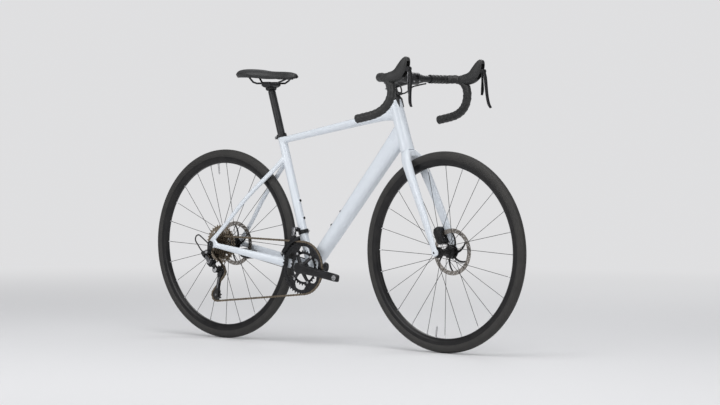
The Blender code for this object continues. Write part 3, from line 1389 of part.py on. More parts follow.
def derailleur_link(name, low_pivot):
    """One side of the parallelogram: a bar with a bore at each end for the knuckles' pins."""
    across = LINK_AXIS.cross(LINK_ALONG)
    outline = link_outline((0, 0), (LINK_LENGTH, 0), 0.0042, 0.0042, 4)
    piece = put(name, plate(outline, -LINK_HALF, LINK_HALF, low_pivot, LINK_ALONG, across), BLACK_SATIN, low_pivot)
    pivots = (low_pivot, low_pivot + LINK_ALONG * LINK_LENGTH)
    return cut(piece, pin_tools(pivots, PIN_RADIUS + GAP, 0.02, LINK_AXIS), name + "_bores")


def derailleur_knuckle():
    """The upper knuckle on the hanger bolt, with the cable adjuster behind it."""
    bolt = HANGER_BOLT
    piece = put("rd_knuckle", rod(0.0085, -0.0965, HANGER_OUTER - GAP, bolt, Y_AXIS, 10), BLACK_SATIN)
    join(piece, rod(0.0048, HANGER_OUTER - 0.002, HANGER_OUTER + HANGER_THICKNESS, bolt, Y_AXIS, 8), "hanger_bolt")
    spine = OUTER_UPPER_PIVOT - LINK_LEVEL * 0.0100
    points = [bolt + Y_AXIS * -0.0904, bolt + Vector((-0.0250, -0.0900, -0.0055)), spine - LINK_LEVEL * 0.0010]
    join(piece, tube(points, [(0.0058, 0.0075), (0.0055, 0.0068), (0.0050, 0.0035)], 8, power=2.6), "knuckle_arm")
    join(piece, channel(OUTER_UPPER_PIVOT, 1), "knuckle_channel")
    pivots = (OUTER_UPPER_PIVOT, OUTER_UPPER_PIVOT + Y_AXIS * LINK_SPREAD)
    join(piece, pin_tools(pivots, PIN_RADIUS, LINK_HALF + 0.002, LINK_AXIS), "knuckle_pins")
    return join(piece, tube([spine, ADJUSTER_END], 0.0038, 8), "cable_adjuster")


def pivot_knuckle():
    """The lower knuckle, which stays level on the links and carries the cage on its sprung barrel."""
    outer = OUTER_UPPER_PIVOT + LINK_ALONG * LINK_LENGTH
    barrel = Vector((CAGE_PIVOT.x, 0, CAGE_PIVOT.z))
    piece = put("rd_p_knuckle", rod(0.0115, -0.0800, BARREL_FACE, barrel, Y_AXIS, 12), BLACK_SATIN, outer)
    spine = outer + LINK_LEVEL * 0.0100 + Y_AXIS * LINK_SPREAD / 2
    points = [spine, barrel + Y_AXIS * -0.0710]
    join(piece, tube(points, [(0.0090, 0.0070), (0.0080, 0.0085)], 8, power=2.6), "p_knuckle_arm")
    join(piece, channel(outer, -1), "p_knuckle_channel")
    pivots = (outer, outer + Y_AXIS * LINK_SPREAD)
    join(piece, pin_tools(pivots, PIN_RADIUS, LINK_HALF + 0.002, LINK_AXIS), "p_knuckle_pins")
    return cut(piece, rod(STUD_RADIUS + GAP, -0.0745, -0.0400, barrel, Y_AXIS, 10), "barrel_bore")


def cage_outline(first, second, first_radius, second_radius, waist):
    """A plate between two pulleys: a round end about each, drawn in to a waist between them."""
    along = (second - first).normalized()
    side = Vector((along.y, -along.x))
    turn = math.atan2(along.y, along.x)
    reach = math.radians(120)
    outline = arc(first_radius, turn + math.pi - reach, turn + math.pi + reach, 6, first)
    outline += [first.lerp(second, share) - side * -waist for share in (0.32, 0.66)]
    outline += arc(second_radius, turn - reach, turn + reach, 6, second)
    outline += [first.lerp(second, share) - side * waist for share in (0.66, 0.32)]
    return [tuple(point) for point in outline]


def derailleur_cage():
    """Two plates either side of the pulleys, held apart by the pulley bolts, on the stud of the lower knuckle."""
    guide, tension = pulley_centres(CAGE_ANGLE)
    centre = Vector((0, CHAIN_COG_Y, 0))
    stud_end = CHAIN_COG_Y + 0.0730
    piece = put(
        "rd_cage",
        plate(cage_outline(guide, tension, 0.0118, 0.0125, 0.0060), CAGE_INSIDE, CAGE_INSIDE + 0.0014, centre),
        BLACK_SATIN, CAGE_PIVOT,
    )
    inner = cage_outline(guide, tension, 0.0105, 0.0115, 0.0048)
    join(piece, plate(inner, -CAGE_INSIDE - 0.0014, -CAGE_INSIDE, centre), "inner_cage_plate")
    tools = bmesh.new()
    for place in (guide, tension):
        spot = Vector((place.x, CHAIN_COG_Y, place.y))
        add_turned(tools, [(PULLEY_BOLT, -CAGE_INSIDE - 0.0010), (PULLEY_BOLT, CAGE_INSIDE + 0.0010)], spot, Y_AXIS, 8)
    join(piece, tools, "pulley_bolts")
    return join(piece, rod(STUD_RADIUS, -stud_end, -CAGE_INSIDE - 0.0004, CAGE_PIVOT, Y_AXIS, 10), "cage_stud")


def pulley(name, place):
    centre = Vector((place.x, CHAIN_COG_Y, place.y))
    phase = tooth_phase(place, PULLEY_TEETH, CHAIN_COG_Y)
    outline = toothed_outline(PULLEY_TEETH, phase, 0.0015)
    piece = put(name, plate(outline, -0.0008, 0.0008, centre), BLACK_PLASTIC, centre)
    half = CAGE_INSIDE - 0.0005
    join(piece, rod(0.0075, -half, half, centre, Y_AXIS, 8), name + "_hub")
    return cut(piece, rod(PULLEY_BOLT + GAP, -0.01, 0.01, centre, Y_AXIS, 8), name + "_bore")


def derailleur_housing():
    """The outer cable from the end of the chainstay, looping back down to the derailleur's adjuster."""
    heading = (ADJUSTER_END - OUTER_UPPER_PIVOT + LINK_LEVEL * 0.0100).normalized()
    exit_at = REAR_HUB + Vector((-0.0155, -REAR_SPACING / 2 - DROPOUT_THICKNESS / 2, 0.0020))
    route = [
        exit_at, exit_at + Vector((-0.0080, -0.0003, 0.0030)), exit_at + Vector((-0.0330, -0.0040, 0.0220)),
        exit_at + Vector((-0.0540, -0.0070, 0.0320)), exit_at + Vector((-0.0600, -0.0060, 0.0160)),
        ADJUSTER_END + heading * 0.0110, ADJUSTER_END + heading * 0.0014,
    ]
    return put("rd_housing", tube(smooth(route, 2), 0.0025, 6), HOSE)


# Front derailleur

CLAMP_ALONG = 0.130
SWING_PIVOT = BB + Vector((-0.0470, -0.0400, 0.1400))
SWING_REST = Vector((0, -0.0035, -0.0248))
SWING_HALF = 0.0070
SWING_PIN = 0.0018
OUTER_GUIDE_Y = -0.0525
INNER_GUIDE_Y = -0.0405
GUIDE_HALF = 0.0006


def swing_ears(pivot, toward):
    """Two ears either side of the swing link, with the pin between them."""
    mesh = bmesh.new()
    outline = link_outline((0, 0), toward, 0.0036, 0.0050, 3)
    for low in (SWING_HALF + GAP, -SWING_HALF - GAP - 0.0026):
        add_plate(mesh, outline, low, low + 0.0026, pivot, Y_AXIS, Z_AXIS)
    return mesh


def front_derailleur_clamp():
    low, high = CLAMP_ALONG - 0.007, CLAMP_ALONG + 0.007
    inner = SEAT_TUBE_RADIUS + GAP
    piece = put("fd_clamp", washer(inner, inner + 0.0024, low, high, BB, SEAT_AXIS, SEAT_SIDES), BLACK_SATIN)
    lug = [(0.0160, 0.0010), (0.0270, 0.0010), (0.0270, 0.0130), (0.0160, 0.0130)]
    join(piece, plate(lug, 0.0015, 0.0125, on_seat_tube(low), SEAT_FRONT, SEAT_AXIS), "clamp_bolt_lug")
    half = SWING_HALF + GAP + 0.0026
    body = [(0.0230, -0.0140), (0.0230, -0.0020), (0.0070, 0.0030), (0.0060, -0.0080)]
    join(piece, plate(body, -half, half, SWING_PIVOT, Y_AXIS, Z_AXIS), "clamp_body")
    join(piece, swing_ears(SWING_PIVOT, (0.0090, -0.0020)), "clamp_ears")
    reach = SWING_HALF + 0.002
    return join(piece, rod(SWING_PIN, -reach, reach, SWING_PIVOT, X_AXIS, 8), "clamp_pin")


def front_derailleur_link():
    outline = link_outline((0, 0), (SWING_REST.y, SWING_REST.z), 0.0036, 0.0036, 4)
    piece = put("fd_link", plate(outline, -SWING_HALF, SWING_HALF, SWING_PIVOT, Y_AXIS, Z_AXIS), STEEL, SWING_PIVOT)
    pivots = (SWING_PIVOT, SWING_PIVOT + SWING_REST)
    return cut(piece, pin_tools(pivots, SWING_PIN + GAP, 0.02, X_AXIS), "fd_link_bores")


def guide_outline(low_radius):
    """The side of the chain guide: it follows the outer ring below, and trails back to a tail."""
    low_edge = arc(low_radius, math.radians(98), math.radians(153), 5)
    return low_edge + [(-0.1030, 0.0400), (-0.1090, 0.0450), (-0.0950, 0.0790), (-0.0720, 0.1010), (-0.0560, 0.1090),
                       (-0.0340, 0.1090), (-0.0130, 0.1040)]


def front_derailleur_cage():
    """The chain guide of the front derailleur: two plates either side of the chain, bridged above and behind."""
    pivot = SWING_PIVOT + SWING_REST
    tip = pitch_radius(OUTER_TEETH) + TOOTH_TIP
    outer = plate(guide_outline(tip + 0.0022), -OUTER_GUIDE_Y - GUIDE_HALF, -OUTER_GUIDE_Y + GUIDE_HALF, BB)
    piece = put("fd_cage", outer, STEEL, pivot)
    inner = plate(guide_outline(tip - 0.0090), -INNER_GUIDE_Y - GUIDE_HALF, -INNER_GUIDE_Y + GUIDE_HALF, BB)
    join(piece, inner, "inner_guide_plate")
    top = [(-0.0574, 0.1048), (-0.0366, 0.1048), (-0.0366, 0.1088), (-0.0574, 0.1088)]
    join(piece, plate(top, -INNER_GUIDE_Y - 0.0003, -OUTER_GUIDE_Y + 0.0003, BB), "guide_bridge")
    tail = BB + Vector((-0.1030, 0, 0.0480))
    join(piece, rod(0.0022, OUTER_GUIDE_Y - 0.0003, INNER_GUIDE_Y + 0.0003, tail, Y_AXIS, 8), "guide_tail_pin")
    join(piece, swing_ears(pivot, (0, -0.0050)), "guide_ears")
    reach = SWING_HALF + 0.002
    return join(piece, rod(SWING_PIN, -reach, reach, pivot, X_AXIS, 8), "guide_pin")


def main():
    clear_scene()
    frame()
    derailleur_hanger()
    for end, place in (("front", FRONT_HUB), ("rear", REAR_HUB)):
        tyre(end + "_tyre", place)
        rim(end + "_rim", place)
    front_hub()
    rear_hub()
    rotor("front_rotor", FRONT_HUB, FRONT_ROTOR_Y)
    rotor("rear_rotor", REAR_HUB, REAR_ROTOR_Y)
    thru_axle("front_axle", FRONT_HUB, FRONT_SPACING, FORK_END, 0.0460, 0.0460)
    thru_axle("rear_axle", REAR_HUB, REAR_SPACING, DROPOUT_THICKNESS, 0.0605, 0.0640)
    cassette()
    outer_chainring()
    inner_chainring()
    right_crank()
    left_crank()
    bottom_bracket()
    chain()
    fork()
    headset()
    steerer_spacer()
    stem()
    stem_faceplate()
    stem_top_cap()
    handlebar()
    for name, side in (("left", 1), ("right", -1)):
        bar_tape(name + "_bar_tape", side)
        hood(name + "_hood", side)
        brake_lever(name + "_brake_lever", side)
        shift_lever(name + "_shift_lever", side)
    handlebar_hoses()
    seat_collar()
    seatpost()
    saddle_clamp()
    saddle_rails()
    saddle_shell()
    saddle_padding()
    brakes()
    derailleur_knuckle()
    derailleur_link("rd_outer_link", OUTER_UPPER_PIVOT)
    derailleur_link("rd_inner_link", OUTER_UPPER_PIVOT + Y_AXIS * LINK_SPREAD)
    pivot_knuckle()
    derailleur_cage()
    guide, tension = pulley_centres(CAGE_ANGLE)
    pulley("guide_pulley", guide)
    pulley("tension_pulley", tension)
    derailleur_housing()
    front_derailleur_clamp()
    front_derailleur_link()
    front_derailleur_cage()


main()
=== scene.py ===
import math

import bmesh
import bpy
from mathutils import Matrix, Vector


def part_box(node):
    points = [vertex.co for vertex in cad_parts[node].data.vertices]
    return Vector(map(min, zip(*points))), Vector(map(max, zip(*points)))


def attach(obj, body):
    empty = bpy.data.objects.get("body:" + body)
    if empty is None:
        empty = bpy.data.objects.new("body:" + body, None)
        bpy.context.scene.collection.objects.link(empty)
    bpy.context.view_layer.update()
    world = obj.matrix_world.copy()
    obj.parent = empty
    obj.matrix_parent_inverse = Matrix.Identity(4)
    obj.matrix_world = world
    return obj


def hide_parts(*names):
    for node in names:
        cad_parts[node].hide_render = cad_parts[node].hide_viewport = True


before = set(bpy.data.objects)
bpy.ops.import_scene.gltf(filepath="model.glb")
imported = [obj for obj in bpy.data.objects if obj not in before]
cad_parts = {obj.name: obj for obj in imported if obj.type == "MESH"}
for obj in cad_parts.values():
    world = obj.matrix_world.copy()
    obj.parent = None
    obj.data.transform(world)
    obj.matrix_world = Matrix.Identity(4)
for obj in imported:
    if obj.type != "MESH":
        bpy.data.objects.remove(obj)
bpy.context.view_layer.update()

# The view
# A long lens low down to the right and ahead of the bike, as in the photograph, with a pale floor
# and large soft lamps above, to the left and behind the camera.
YAW, PITCH, ROLL = math.radians(40.78), math.radians(1.375), math.radians(0.25)
lens = bpy.data.cameras.new("camera")
lens.lens = 135.15
lens.sensor_width = 36
lens.clip_end = 200
camera = bpy.data.objects.new("camera", lens)
bpy.context.scene.collection.objects.link(camera)
camera.matrix_world = (
    Matrix.Translation((6.2839, -7.1332, 0.7309)) @ Matrix.Rotation(YAW, 4, "Z")
    @ Matrix.Rotation(math.pi / 2 - PITCH, 4, "X") @ Matrix.Rotation(ROLL, 4, "Z")
)
bpy.context.scene.camera = camera
bpy.context.scene.view_settings.view_transform = "Standard"


def softbox(name, place, size, power):
    """A large square lamp that faces the middle of the bike."""
    light = bpy.data.lights.new(name, "AREA")
    light.size = size
    light.energy = power
    lamp = bpy.data.objects.new(name, light)
    bpy.context.scene.collection.objects.link(lamp)
    lamp.location = place
    aim = Vector((0, 0, 0.45)) - Vector(place)
    lamp.rotation_euler = aim.to_track_quat("-Z", "Y").to_euler()
    lamp.visible_camera = False


softbox("lamp_above", (0.6, -1.2, 4.2), 3.6, 95)
softbox("lamp_right", (4.6, -2.4, 2.2), 2.4, 60)
softbox("lamp_behind_camera", (-1.6, -5.2, 2.4), 3.0, 75)
softbox("lamp_far_side", (-1.5, 4.2, 3.0), 2.6, 45)

floor_mesh = bmesh.new()
bmesh.ops.create_grid(floor_mesh, x_segments=2, y_segments=2, size=60)
floor_data = bpy.data.meshes.new("floor")
floor_mesh.to_mesh(floor_data)
floor = bpy.data.objects.new("floor", floor_data)
bpy.context.scene.collection.objects.link(floor)
floor_finish = bpy.data.materials.new("pale_floor")
floor_finish.use_nodes = True
floor_nodes, floor_links = floor_finish.node_tree.nodes, floor_finish.node_tree.links
floor_paint = floor_nodes["Principled BSDF"]
floor_paint.inputs["Base Color"].default_value = (0.78, 0.78, 0.79, 1)
floor_paint.inputs["Roughness"].default_value = 0.9
far_glow = floor_nodes.new("ShaderNodeEmission")
far_glow.inputs["Color"].default_value = (0.74, 0.74, 0.75, 1)
spot = floor_nodes.new("ShaderNodeTexCoord")
reach = floor_nodes.new("ShaderNodeVectorMath")
reach.operation = "LENGTH"
floor_links.new(spot.outputs["Object"], reach.inputs[0])
fade = floor_nodes.new("ShaderNodeMapRange")
fade.interpolation_type = "SMOOTHSTEP"
fade.inputs["From Min"].default_value = 1.2
fade.inputs["From Max"].default_value = 6.0
floor_links.new(reach.outputs["Value"], fade.inputs["Value"])
floor_mix = floor_nodes.new("ShaderNodeMixShader")
floor_links.new(fade.outputs["Result"], floor_mix.inputs["Fac"])
floor_links.new(floor_paint.outputs[0], floor_mix.inputs[1])
floor_links.new(far_glow.outputs[0], floor_mix.inputs[2])
floor_links.new(floor_mix.outputs[0], floor_nodes["Material Output"].inputs["Surface"])
floor_data.materials.append(floor_finish)

world = bpy.data.worlds.new("studio")
bpy.context.scene.world = world
world.use_nodes = True
sky_nodes, sky_links = world.node_tree.nodes, world.node_tree.links
glow = sky_nodes["Background"]
glow.inputs["Color"].default_value = (0.62, 0.63, 0.65, 1)
glow.inputs["Strength"].default_value = 0.55
pale = sky_nodes.new("ShaderNodeBackground")
pale.inputs["Color"].default_value = (0.74, 0.74, 0.75, 1)
seen = sky_nodes.new("ShaderNodeLightPath")
either = sky_nodes.new("ShaderNodeMath")
either.operation = "MAXIMUM"
sky_links.new(seen.outputs["Is Camera Ray"], either.inputs[0])
sky_links.new(seen.outputs["Is Transmission Ray"], either.inputs[1])
choose = sky_nodes.new("ShaderNodeMixShader")
sky_links.new(either.outputs[0], choose.inputs["Fac"])
sky_links.new(glow.outputs[0], choose.inputs[1])
sky_links.new(pale.outputs[0], choose.inputs[2])
sky_links.new(choose.outputs[0], sky_nodes["World Output"].inputs["Surface"])

# Frame
# An aluminium frame: shaped tubes welded at the head tube, the seat tube and the bottom bracket shell,
# the welds smoothed over, and the whole sprayed gloss white with a cool cast under a clear coat.
HEAD_BOTTOM = Vector((0.34665, 0, 0.68408))
STEER_AXIS = Vector((-0.31730, 0, 0.94832))
STEER_FRONT = Vector((0.94832, 0, 0.31730))
BB = Vector((-0.09502, 0, 0.270))
SEAT_AXIS = Vector((-0.29571, 0, 0.95528))
SEAT_FRONT = Vector((0.95528, 0, 0.29571))
REAR_HUB = Vector((-0.5135, 0, 0.343))
FRONT_HUB = Vector((0.5135, 0, 0.343))
X_AXIS, Y_AXIS, Z_AXIS = Vector((1, 0, 0)), Vector((0, 1, 0)), Vector((0, 0, 1))
HEAD_LENGTH = 0.1837
SEAT_TUBE_BOSSES, DOWN_TUBE_BOSSES = (0.178, 0.242), (0.170, 0.234)
SIDES = ((1, "left"), (-1, "right"))


def ring(mesh, centre, across, up, half_across, half_up, sides=32, power=2.0):
    """A closed loop of edges: an oval, or a rounded box where the power is above 2."""
    made = bmesh.ops.create_circle(mesh, cap_ends=False, segments=sides, radius=1.0)["verts"]
    edges = []
    for vert in made:
        x = math.copysign(abs(vert.co.x) ** (2 / power), vert.co.x) * half_across
        y = math.copysign(abs(vert.co.y) ** (2 / power), vert.co.y) * half_up
        vert.co = Vector(centre) + across * x + up * y
        edges += [edge for edge in vert.link_edges if edge not in edges]
    return edges


def skin(mesh, rings, capped=True):
    """Bridges each loop to the next, and closes both ends."""
    for first, second in zip(rings, rings[1:]):
        bmesh.ops.bridge_loops(mesh, edges=first + second)
    if capped:
        bmesh.ops.edgeloop_fill(mesh, edges=rings[0])
        bmesh.ops.edgeloop_fill(mesh, edges=rings[-1])


def flow(stations, steps=8):
    """More stations between the given ones, on a smooth curve through them."""
    rows = [tuple(station) for station in stations]
    first = tuple(2 * a - b for a, b in zip(rows[0], rows[1]))
    last = tuple(2 * a - b for a, b in zip(rows[-1], rows[-2]))
    rows = [first] + rows + [last]
    made = []
    for before, start, end, after in zip(rows, rows[1:], rows[2:], rows[3:]):
        for step in range(steps):
            t = step / steps
            made.append(tuple(
                b + 0.5 * t * (c - a + t * (2 * a - 5 * b + 4 * c - d + t * (3 * (b - c) + d - a)))
                for a, b, c, d in zip(before, start, end, after)
            ))
    return made + [rows[-2]]


def tube(mesh, stations, sides=24, across=Y_AXIS, power=2.0):
    """A tube through stations of x, y, z, half width across and half height."""
    points = [Vector(station[:3]) for station in stations]
    side = Vector(across)
    rings = []
    for i, (point, station) in enumerate(zip(points, stations)):
        along = (points[min(i + 1, len(points) - 1)] - points[max(i - 1, 0)]).normalized()
        side = (side - along * side.dot(along)).normalized()
        rings.append(ring(mesh, point, side, along.cross(side), station[3], station[4], sides, power))
    skin(mesh, rings)


def stick(mesh, low, high, radius, sides):
    """A thin straight bar between two points."""
    tube(mesh, [(*low, radius, radius), (*high, radius, radius)], sides, X_AXIS)


def turn(mesh, profile, origin, axis=Y_AXIS, steps=48, closed=False):
    """Spins a profile of radius and distance along the axis, once round."""
    axis = Vector(axis).normalized()
    out = axis.orthogonal().normalized()
    verts = [mesh.verts.new(Vector(origin) + axis * along + out * radius) for radius, along in profile]
    edges = [mesh.edges.new(pair) for pair in zip(verts, verts[1:])]
    if closed:
        edges.append(mesh.edges.new((verts[-1], verts[0])))
    bmesh.ops.spin(mesh, geom=verts + edges, cent=origin, axis=axis, angle=2 * math.pi, steps=steps,
                   use_merge=True)


def rod(mesh, radius, low, high, origin, axis=Y_AXIS, steps=48):
    """A plain cylinder between two distances along the axis."""
    turn(mesh, [(0, low), (radius, low), (radius, high), (0, high)], origin, axis, steps)


def drum(mesh, radius, low, high, edge, origin, axis=Y_AXIS, steps=48):
    """A cylinder with a broken edge at both ends."""
    turn(mesh, [(0, low), (radius - edge, low), (radius, low + edge), (radius, high - edge),
                (radius - edge, high), (0, high)], origin, axis, steps)


def slab(mesh, outlines, low, high, centre, across=X_AXIS, up=Z_AXIS):
    """A plate with holes: the outer outline first, filled flat and pulled out to its thickness."""
    normal = across.cross(up)
    edges = []
    for outline in outlines:
        loop = [mesh.verts.new(Vector(centre) + across * x + up * y + normal * low) for x, y in outline]
        edges += [mesh.edges.new(pair) for pair in zip(loop, loop[1:] + loop[:1])]
    if len(outlines) == 1:
        faces = [mesh.faces.new(loop)]
    else:
        filled = bmesh.ops.triangle_fill(mesh, use_beauty=True, edges=edges)["geom"]
        faces = [part for part in filled if isinstance(part, bmesh.types.BMFace)]
    pulled = bmesh.ops.extrude_face_region(mesh, geom=faces)["geom"]
    moved = [part for part in pulled if isinstance(part, bmesh.types.BMVert)]
    bmesh.ops.translate(mesh, verts=moved, vec=normal * (high - low))


def polar(radius, lean):
    """A point of a plate's outline, at a distance and an angle from its centre."""
    return radius * math.cos(lean), radius * math.sin(lean)


def outward(lean):
    """The direction at an angle in side view."""
    return Vector((math.cos(lean), 0, math.sin(lean)))


def circle(radius, count, centre=(0, 0)):
    """The outline of a round plate or hole."""
    points = [polar(radius, 2 * math.pi * i / count) for i in range(count)]
    return [(centre[0] + x, centre[1] + y) for x, y in points]


def arc(radius, start, end, step, centre=(0, 0)):
    """The points of a round stretch of an outline, with its angles in degrees."""
    points = [polar(radius, math.radians(lean)) for lean in range(start, end, step)]
    return [(centre[0] + x, centre[1] + y) for x, y in points]


def hole_row(count, radius, size, sides, start=0.0):
    """Round holes at even steps on a circle."""
    return [circle(size, sides, polar(radius, 2 * math.pi * i / count + start)) for i in range(count)]


def soften(mesh, width, angle=28, segments=2):
    """Rounds every edge that is sharper than an angle."""
    bmesh.ops.remove_doubles(mesh, verts=mesh.verts, dist=0.00001)
    bmesh.ops.recalc_face_normals(mesh, faces=mesh.faces)
    sharp = [edge for edge in mesh.edges if edge.calc_face_angle(0) > math.radians(angle)]
    bmesh.ops.bevel(mesh, geom=sharp, offset=width, offset_type="OFFSET", segments=segments, profile=0.5,
                    affect="EDGES", material=-1, clamp_overlap=True)


def place(name, mesh, body, finish, slot_name, replaced=(), angle=32):
    """Puts a finished piece in the scene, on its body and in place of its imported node."""
    bmesh.ops.remove_doubles(mesh, verts=mesh.verts, dist=0.000005)
    bmesh.ops.recalc_face_normals(mesh, faces=mesh.faces)
    data = bpy.data.meshes.new(name)
    mesh.to_mesh(data)
    mesh.free()
    data.materials.append(finish)
    data.shade_smooth()
    data.set_sharp_from_angle(angle=math.radians(angle))
    piece = bpy.data.objects.new(name, data)
    bpy.context.scene.collection.objects.link(piece)
    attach(piece, body)
    if replaced:
        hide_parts(*([replaced] if isinstance(replaced, str) else replaced))
    return piece


def surface(name, dark, light, rough, metallic=0.0, grain=40.0, relief=0.0, relief_grain=400.0):
    """A finish whose tone, gloss and relief change a little over the piece."""
    made = bpy.data.materials.new(name)
    made.use_nodes = True
    nodes, links = made.node_tree.nodes, made.node_tree.links
    shader = nodes["Principled BSDF"]
    shader.inputs["Metallic"].default_value = metallic
    where = nodes.new("ShaderNodeTexCoord")
    cloud = nodes.new("ShaderNodeTexNoise")
    cloud.inputs["Scale"].default_value = grain
    cloud.inputs["Detail"].default_value = 4
    links.new(where.outputs["Object"], cloud.inputs["Vector"])
    tone = nodes.new("ShaderNodeValToRGB")
    tone.color_ramp.elements[0].position = 0.3
    tone.color_ramp.elements[1].position = 0.7
    tone.color_ramp.elements[0].color = (*dark, 1)
    tone.color_ramp.elements[1].color = (*light, 1)
    links.new(cloud.outputs["Fac"], tone.inputs["Fac"])
    links.new(tone.outputs["Color"], shader.inputs["Base Color"])
    gloss = nodes.new("ShaderNodeMapRange")
    gloss.inputs["To Min"].default_value = rough[0]
    gloss.inputs["To Max"].default_value = rough[1]
    links.new(cloud.outputs["Fac"], gloss.inputs["Value"])
    links.new(gloss.outputs["Result"], shader.inputs["Roughness"])
    if relief:
        grit = nodes.new("ShaderNodeTexNoise")
        grit.inputs["Scale"].default_value = relief_grain
        grit.inputs["Detail"].default_value = 3
        links.new(where.outputs["Object"], grit.inputs["Vector"])
        bump = nodes.new("ShaderNodeBump")
        bump.inputs["Strength"].default_value = 0.6
        bump.inputs["Distance"].default_value = relief
        links.new(grit.outputs["Fac"], bump.inputs["Height"])
        links.new(bump.outputs["Normal"], shader.inputs["Normal"])
    return made


white_paint = surface("gloss_white_paint", (0.70, 0.745, 0.80), (0.725, 0.77, 0.82), (0.24, 0.32), grain=6.0,
                      relief=0.000006, relief_grain=500.0)
white_paint.node_tree.nodes["Principled BSDF"].inputs["Coat Weight"].default_value = 0.5
white_paint.node_tree.nodes["Principled BSDF"].inputs["Coat Roughness"].default_value = 0.16


def on_steerer(along, forward=0.0, left=0.0):
    return HEAD_BOTTOM + STEER_AXIS * along + STEER_FRONT * forward + Y_AXIS * left


def on_seat_tube(along, forward=0.0, left=0.0):
    return BB + SEAT_AXIS * along + SEAT_FRONT * forward + Y_AXIS * left


def between(low, high, shares):
    """Stations on a straight line: share of the way, half width, half height."""
    return [(*low.lerp(high, share), half_width, half_height) for share, half_width, half_height in shares]


frame_mesh = bmesh.new()
down_low, down_high = BB + Vector((0.008, 0, 0.004)), on_steerer(0.068, -0.006)
tube(frame_mesh, flow(between(down_low, down_high, [
    (0.0, 0.0265, 0.0225), (0.10, 0.0262, 0.0245), (0.45, 0.0255, 0.0280), (0.84, 0.0240, 0.0320),
    (1.0, 0.0215, 0.0370)])), 32, power=2.3)
tube(frame_mesh, flow(between(on_seat_tube(0.471), on_steerer(0.142, -0.004), [
    (0.0, 0.0150, 0.0120), (0.10, 0.0155, 0.0120), (0.50, 0.0175, 0.0140), (0.86, 0.0205, 0.0175),
    (1.0, 0.0200, 0.0290)])), 32, power=2.4)
rod(frame_mesh, 0.0155, 0, 0.494, BB, SEAT_AXIS)
turn(frame_mesh, [(0, 0), (0.0250, 0), (0.0236, 0.035), (0.0234, 0.150), (0.0240, HEAD_LENGTH),
                  (0, HEAD_LENGTH)],
     HEAD_BOTTOM, STEER_AXIS)
rod(frame_mesh, 0.0202, -0.034, 0.034, BB)
rod(frame_mesh, 0.0080, -0.026, 0.026, BB.lerp(REAR_HUB, 0.130))
stay_top = on_seat_tube(0.405, -0.006)
stay_low = REAR_HUB + Vector((0.0115, 0, 0.0205))
stay_middle = stay_top.lerp(stay_low, 0.5) + Vector((-0.004, 0, 0.006))
for side in (-1, 1):
    chainstay = [
        (0.020, 0.0235, 0.0085, 0.0165), (0.150, 0.0290, 0.0070, 0.0165), (0.240, 0.0345, 0.0080, 0.0160),
        (0.600, 0.0575, 0.0076, 0.0132), (0.955, 0.0748, 0.0042, 0.0100),
    ]
    route = [(*(BB.lerp(REAR_HUB, share) + Y_AXIS * left * side), half_width, half_height)
             for share, left, half_width, half_height in chainstay]
    tube(frame_mesh, flow(route), 20, power=2.4)
    seatstay = [
        (stay_top, 0.0105, 0.0068, 0.0110), (stay_top.lerp(stay_low, 0.12), 0.0180, 0.0066, 0.0095),
        (stay_middle, 0.0450, 0.0066, 0.0088), (stay_top.lerp(stay_low, 0.82), 0.0665, 0.0058, 0.0085),
        (stay_low, 0.0750, 0.0040, 0.0090),
    ]
    route = [(point.x, left * side, point.z, half_width, half_height)
             for point, left, half_width, half_height in seatstay]
    tube(frame_mesh, flow(route), 20, power=2.1)
    dropout = arc(0.0150, 125, 291, 15)
    dropout += [(0.019, -0.0125), (0.036, -0.0125), (0.032, 0.0035), (0.020, 0.016), (0.019, 0.029),
                (0.004, 0.026)]
    inner = 0.071 if side < 0 else -0.0795
    slab(frame_mesh, [dropout], inner, inner + 0.0085, REAR_HUB)
down_along = (down_high - down_low).normalized()
down_above = Vector((-down_along.z, 0, down_along.x))
for along in SEAT_TUBE_BOSSES:
    turn(frame_mesh, [(0, 0.010), (0.0058, 0.010), (0.0055, 0.0176), (0, 0.0181)], on_seat_tube(along),
         SEAT_FRONT, 24)
for along in DOWN_TUBE_BOSSES:
    turn(frame_mesh, [(0, 0.020), (0.0058, 0.020), (0.0055, 0.0308), (0, 0.0312)],
         down_low + down_along * along, down_above, 24)
painted_frame = place("painted_frame", frame_mesh, "frame", white_paint, "white_paint", "frame")


def settled(piece):
    """Makes what the piece's modifiers show its own mesh, and takes them off."""
    bpy.context.view_layer.update()
    shown = piece.evaluated_get(bpy.context.evaluated_depsgraph_get())
    piece.data = bpy.data.meshes.new_from_object(shown)
    piece.modifiers.clear()


def welded(piece, voxel, passes):
    """Fuses a piece's overlapping tubes into one skin, and smooths the joints as welds are."""
    fuse = piece.modifiers.new("fuse", "REMESH")
    fuse.mode = "VOXEL"
    fuse.voxel_size = voxel
    fuse.use_smooth_shade = True
    ease = piece.modifiers.new("ease", "SMOOTH")
    ease.factor = 0.5
    ease.iterations = passes
    settled(piece)
    piece.data.shade_smooth()


def cut_out(piece, cutter_mesh):
    """Takes the cutter's shape out of a piece."""
    bmesh.ops.recalc_face_normals(cutter_mesh, faces=cutter_mesh.faces)
    data = bpy.data.meshes.new("cutter")
    cutter_mesh.to_mesh(data)
    cutter_mesh.free()
    cutter = bpy.data.objects.new("cutter", data)
    bpy.context.scene.collection.objects.link(cutter)
    taken = piece.modifiers.new("cut", "BOOLEAN")
    taken.object = cutter
    taken.solver = "EXACT"
    settled(piece)
    bpy.data.objects.remove(cutter)
    piece.data.set_sharp_from_angle(angle=math.radians(32))


welded(painted_frame, 0.0021, 14)

# Derailleur hanger
# A small machined aluminium link, black, that is bolted inside the right dropout and carries the rear
# derailleur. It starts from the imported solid, with its edges broken.
black_alloy = surface("satin_black_alloy", (0.012, 0.012, 0.013), (0.022, 0.022, 0.024), (0.30, 0.44),
                      metallic=0.35, grain=60.0, relief=0.00004)


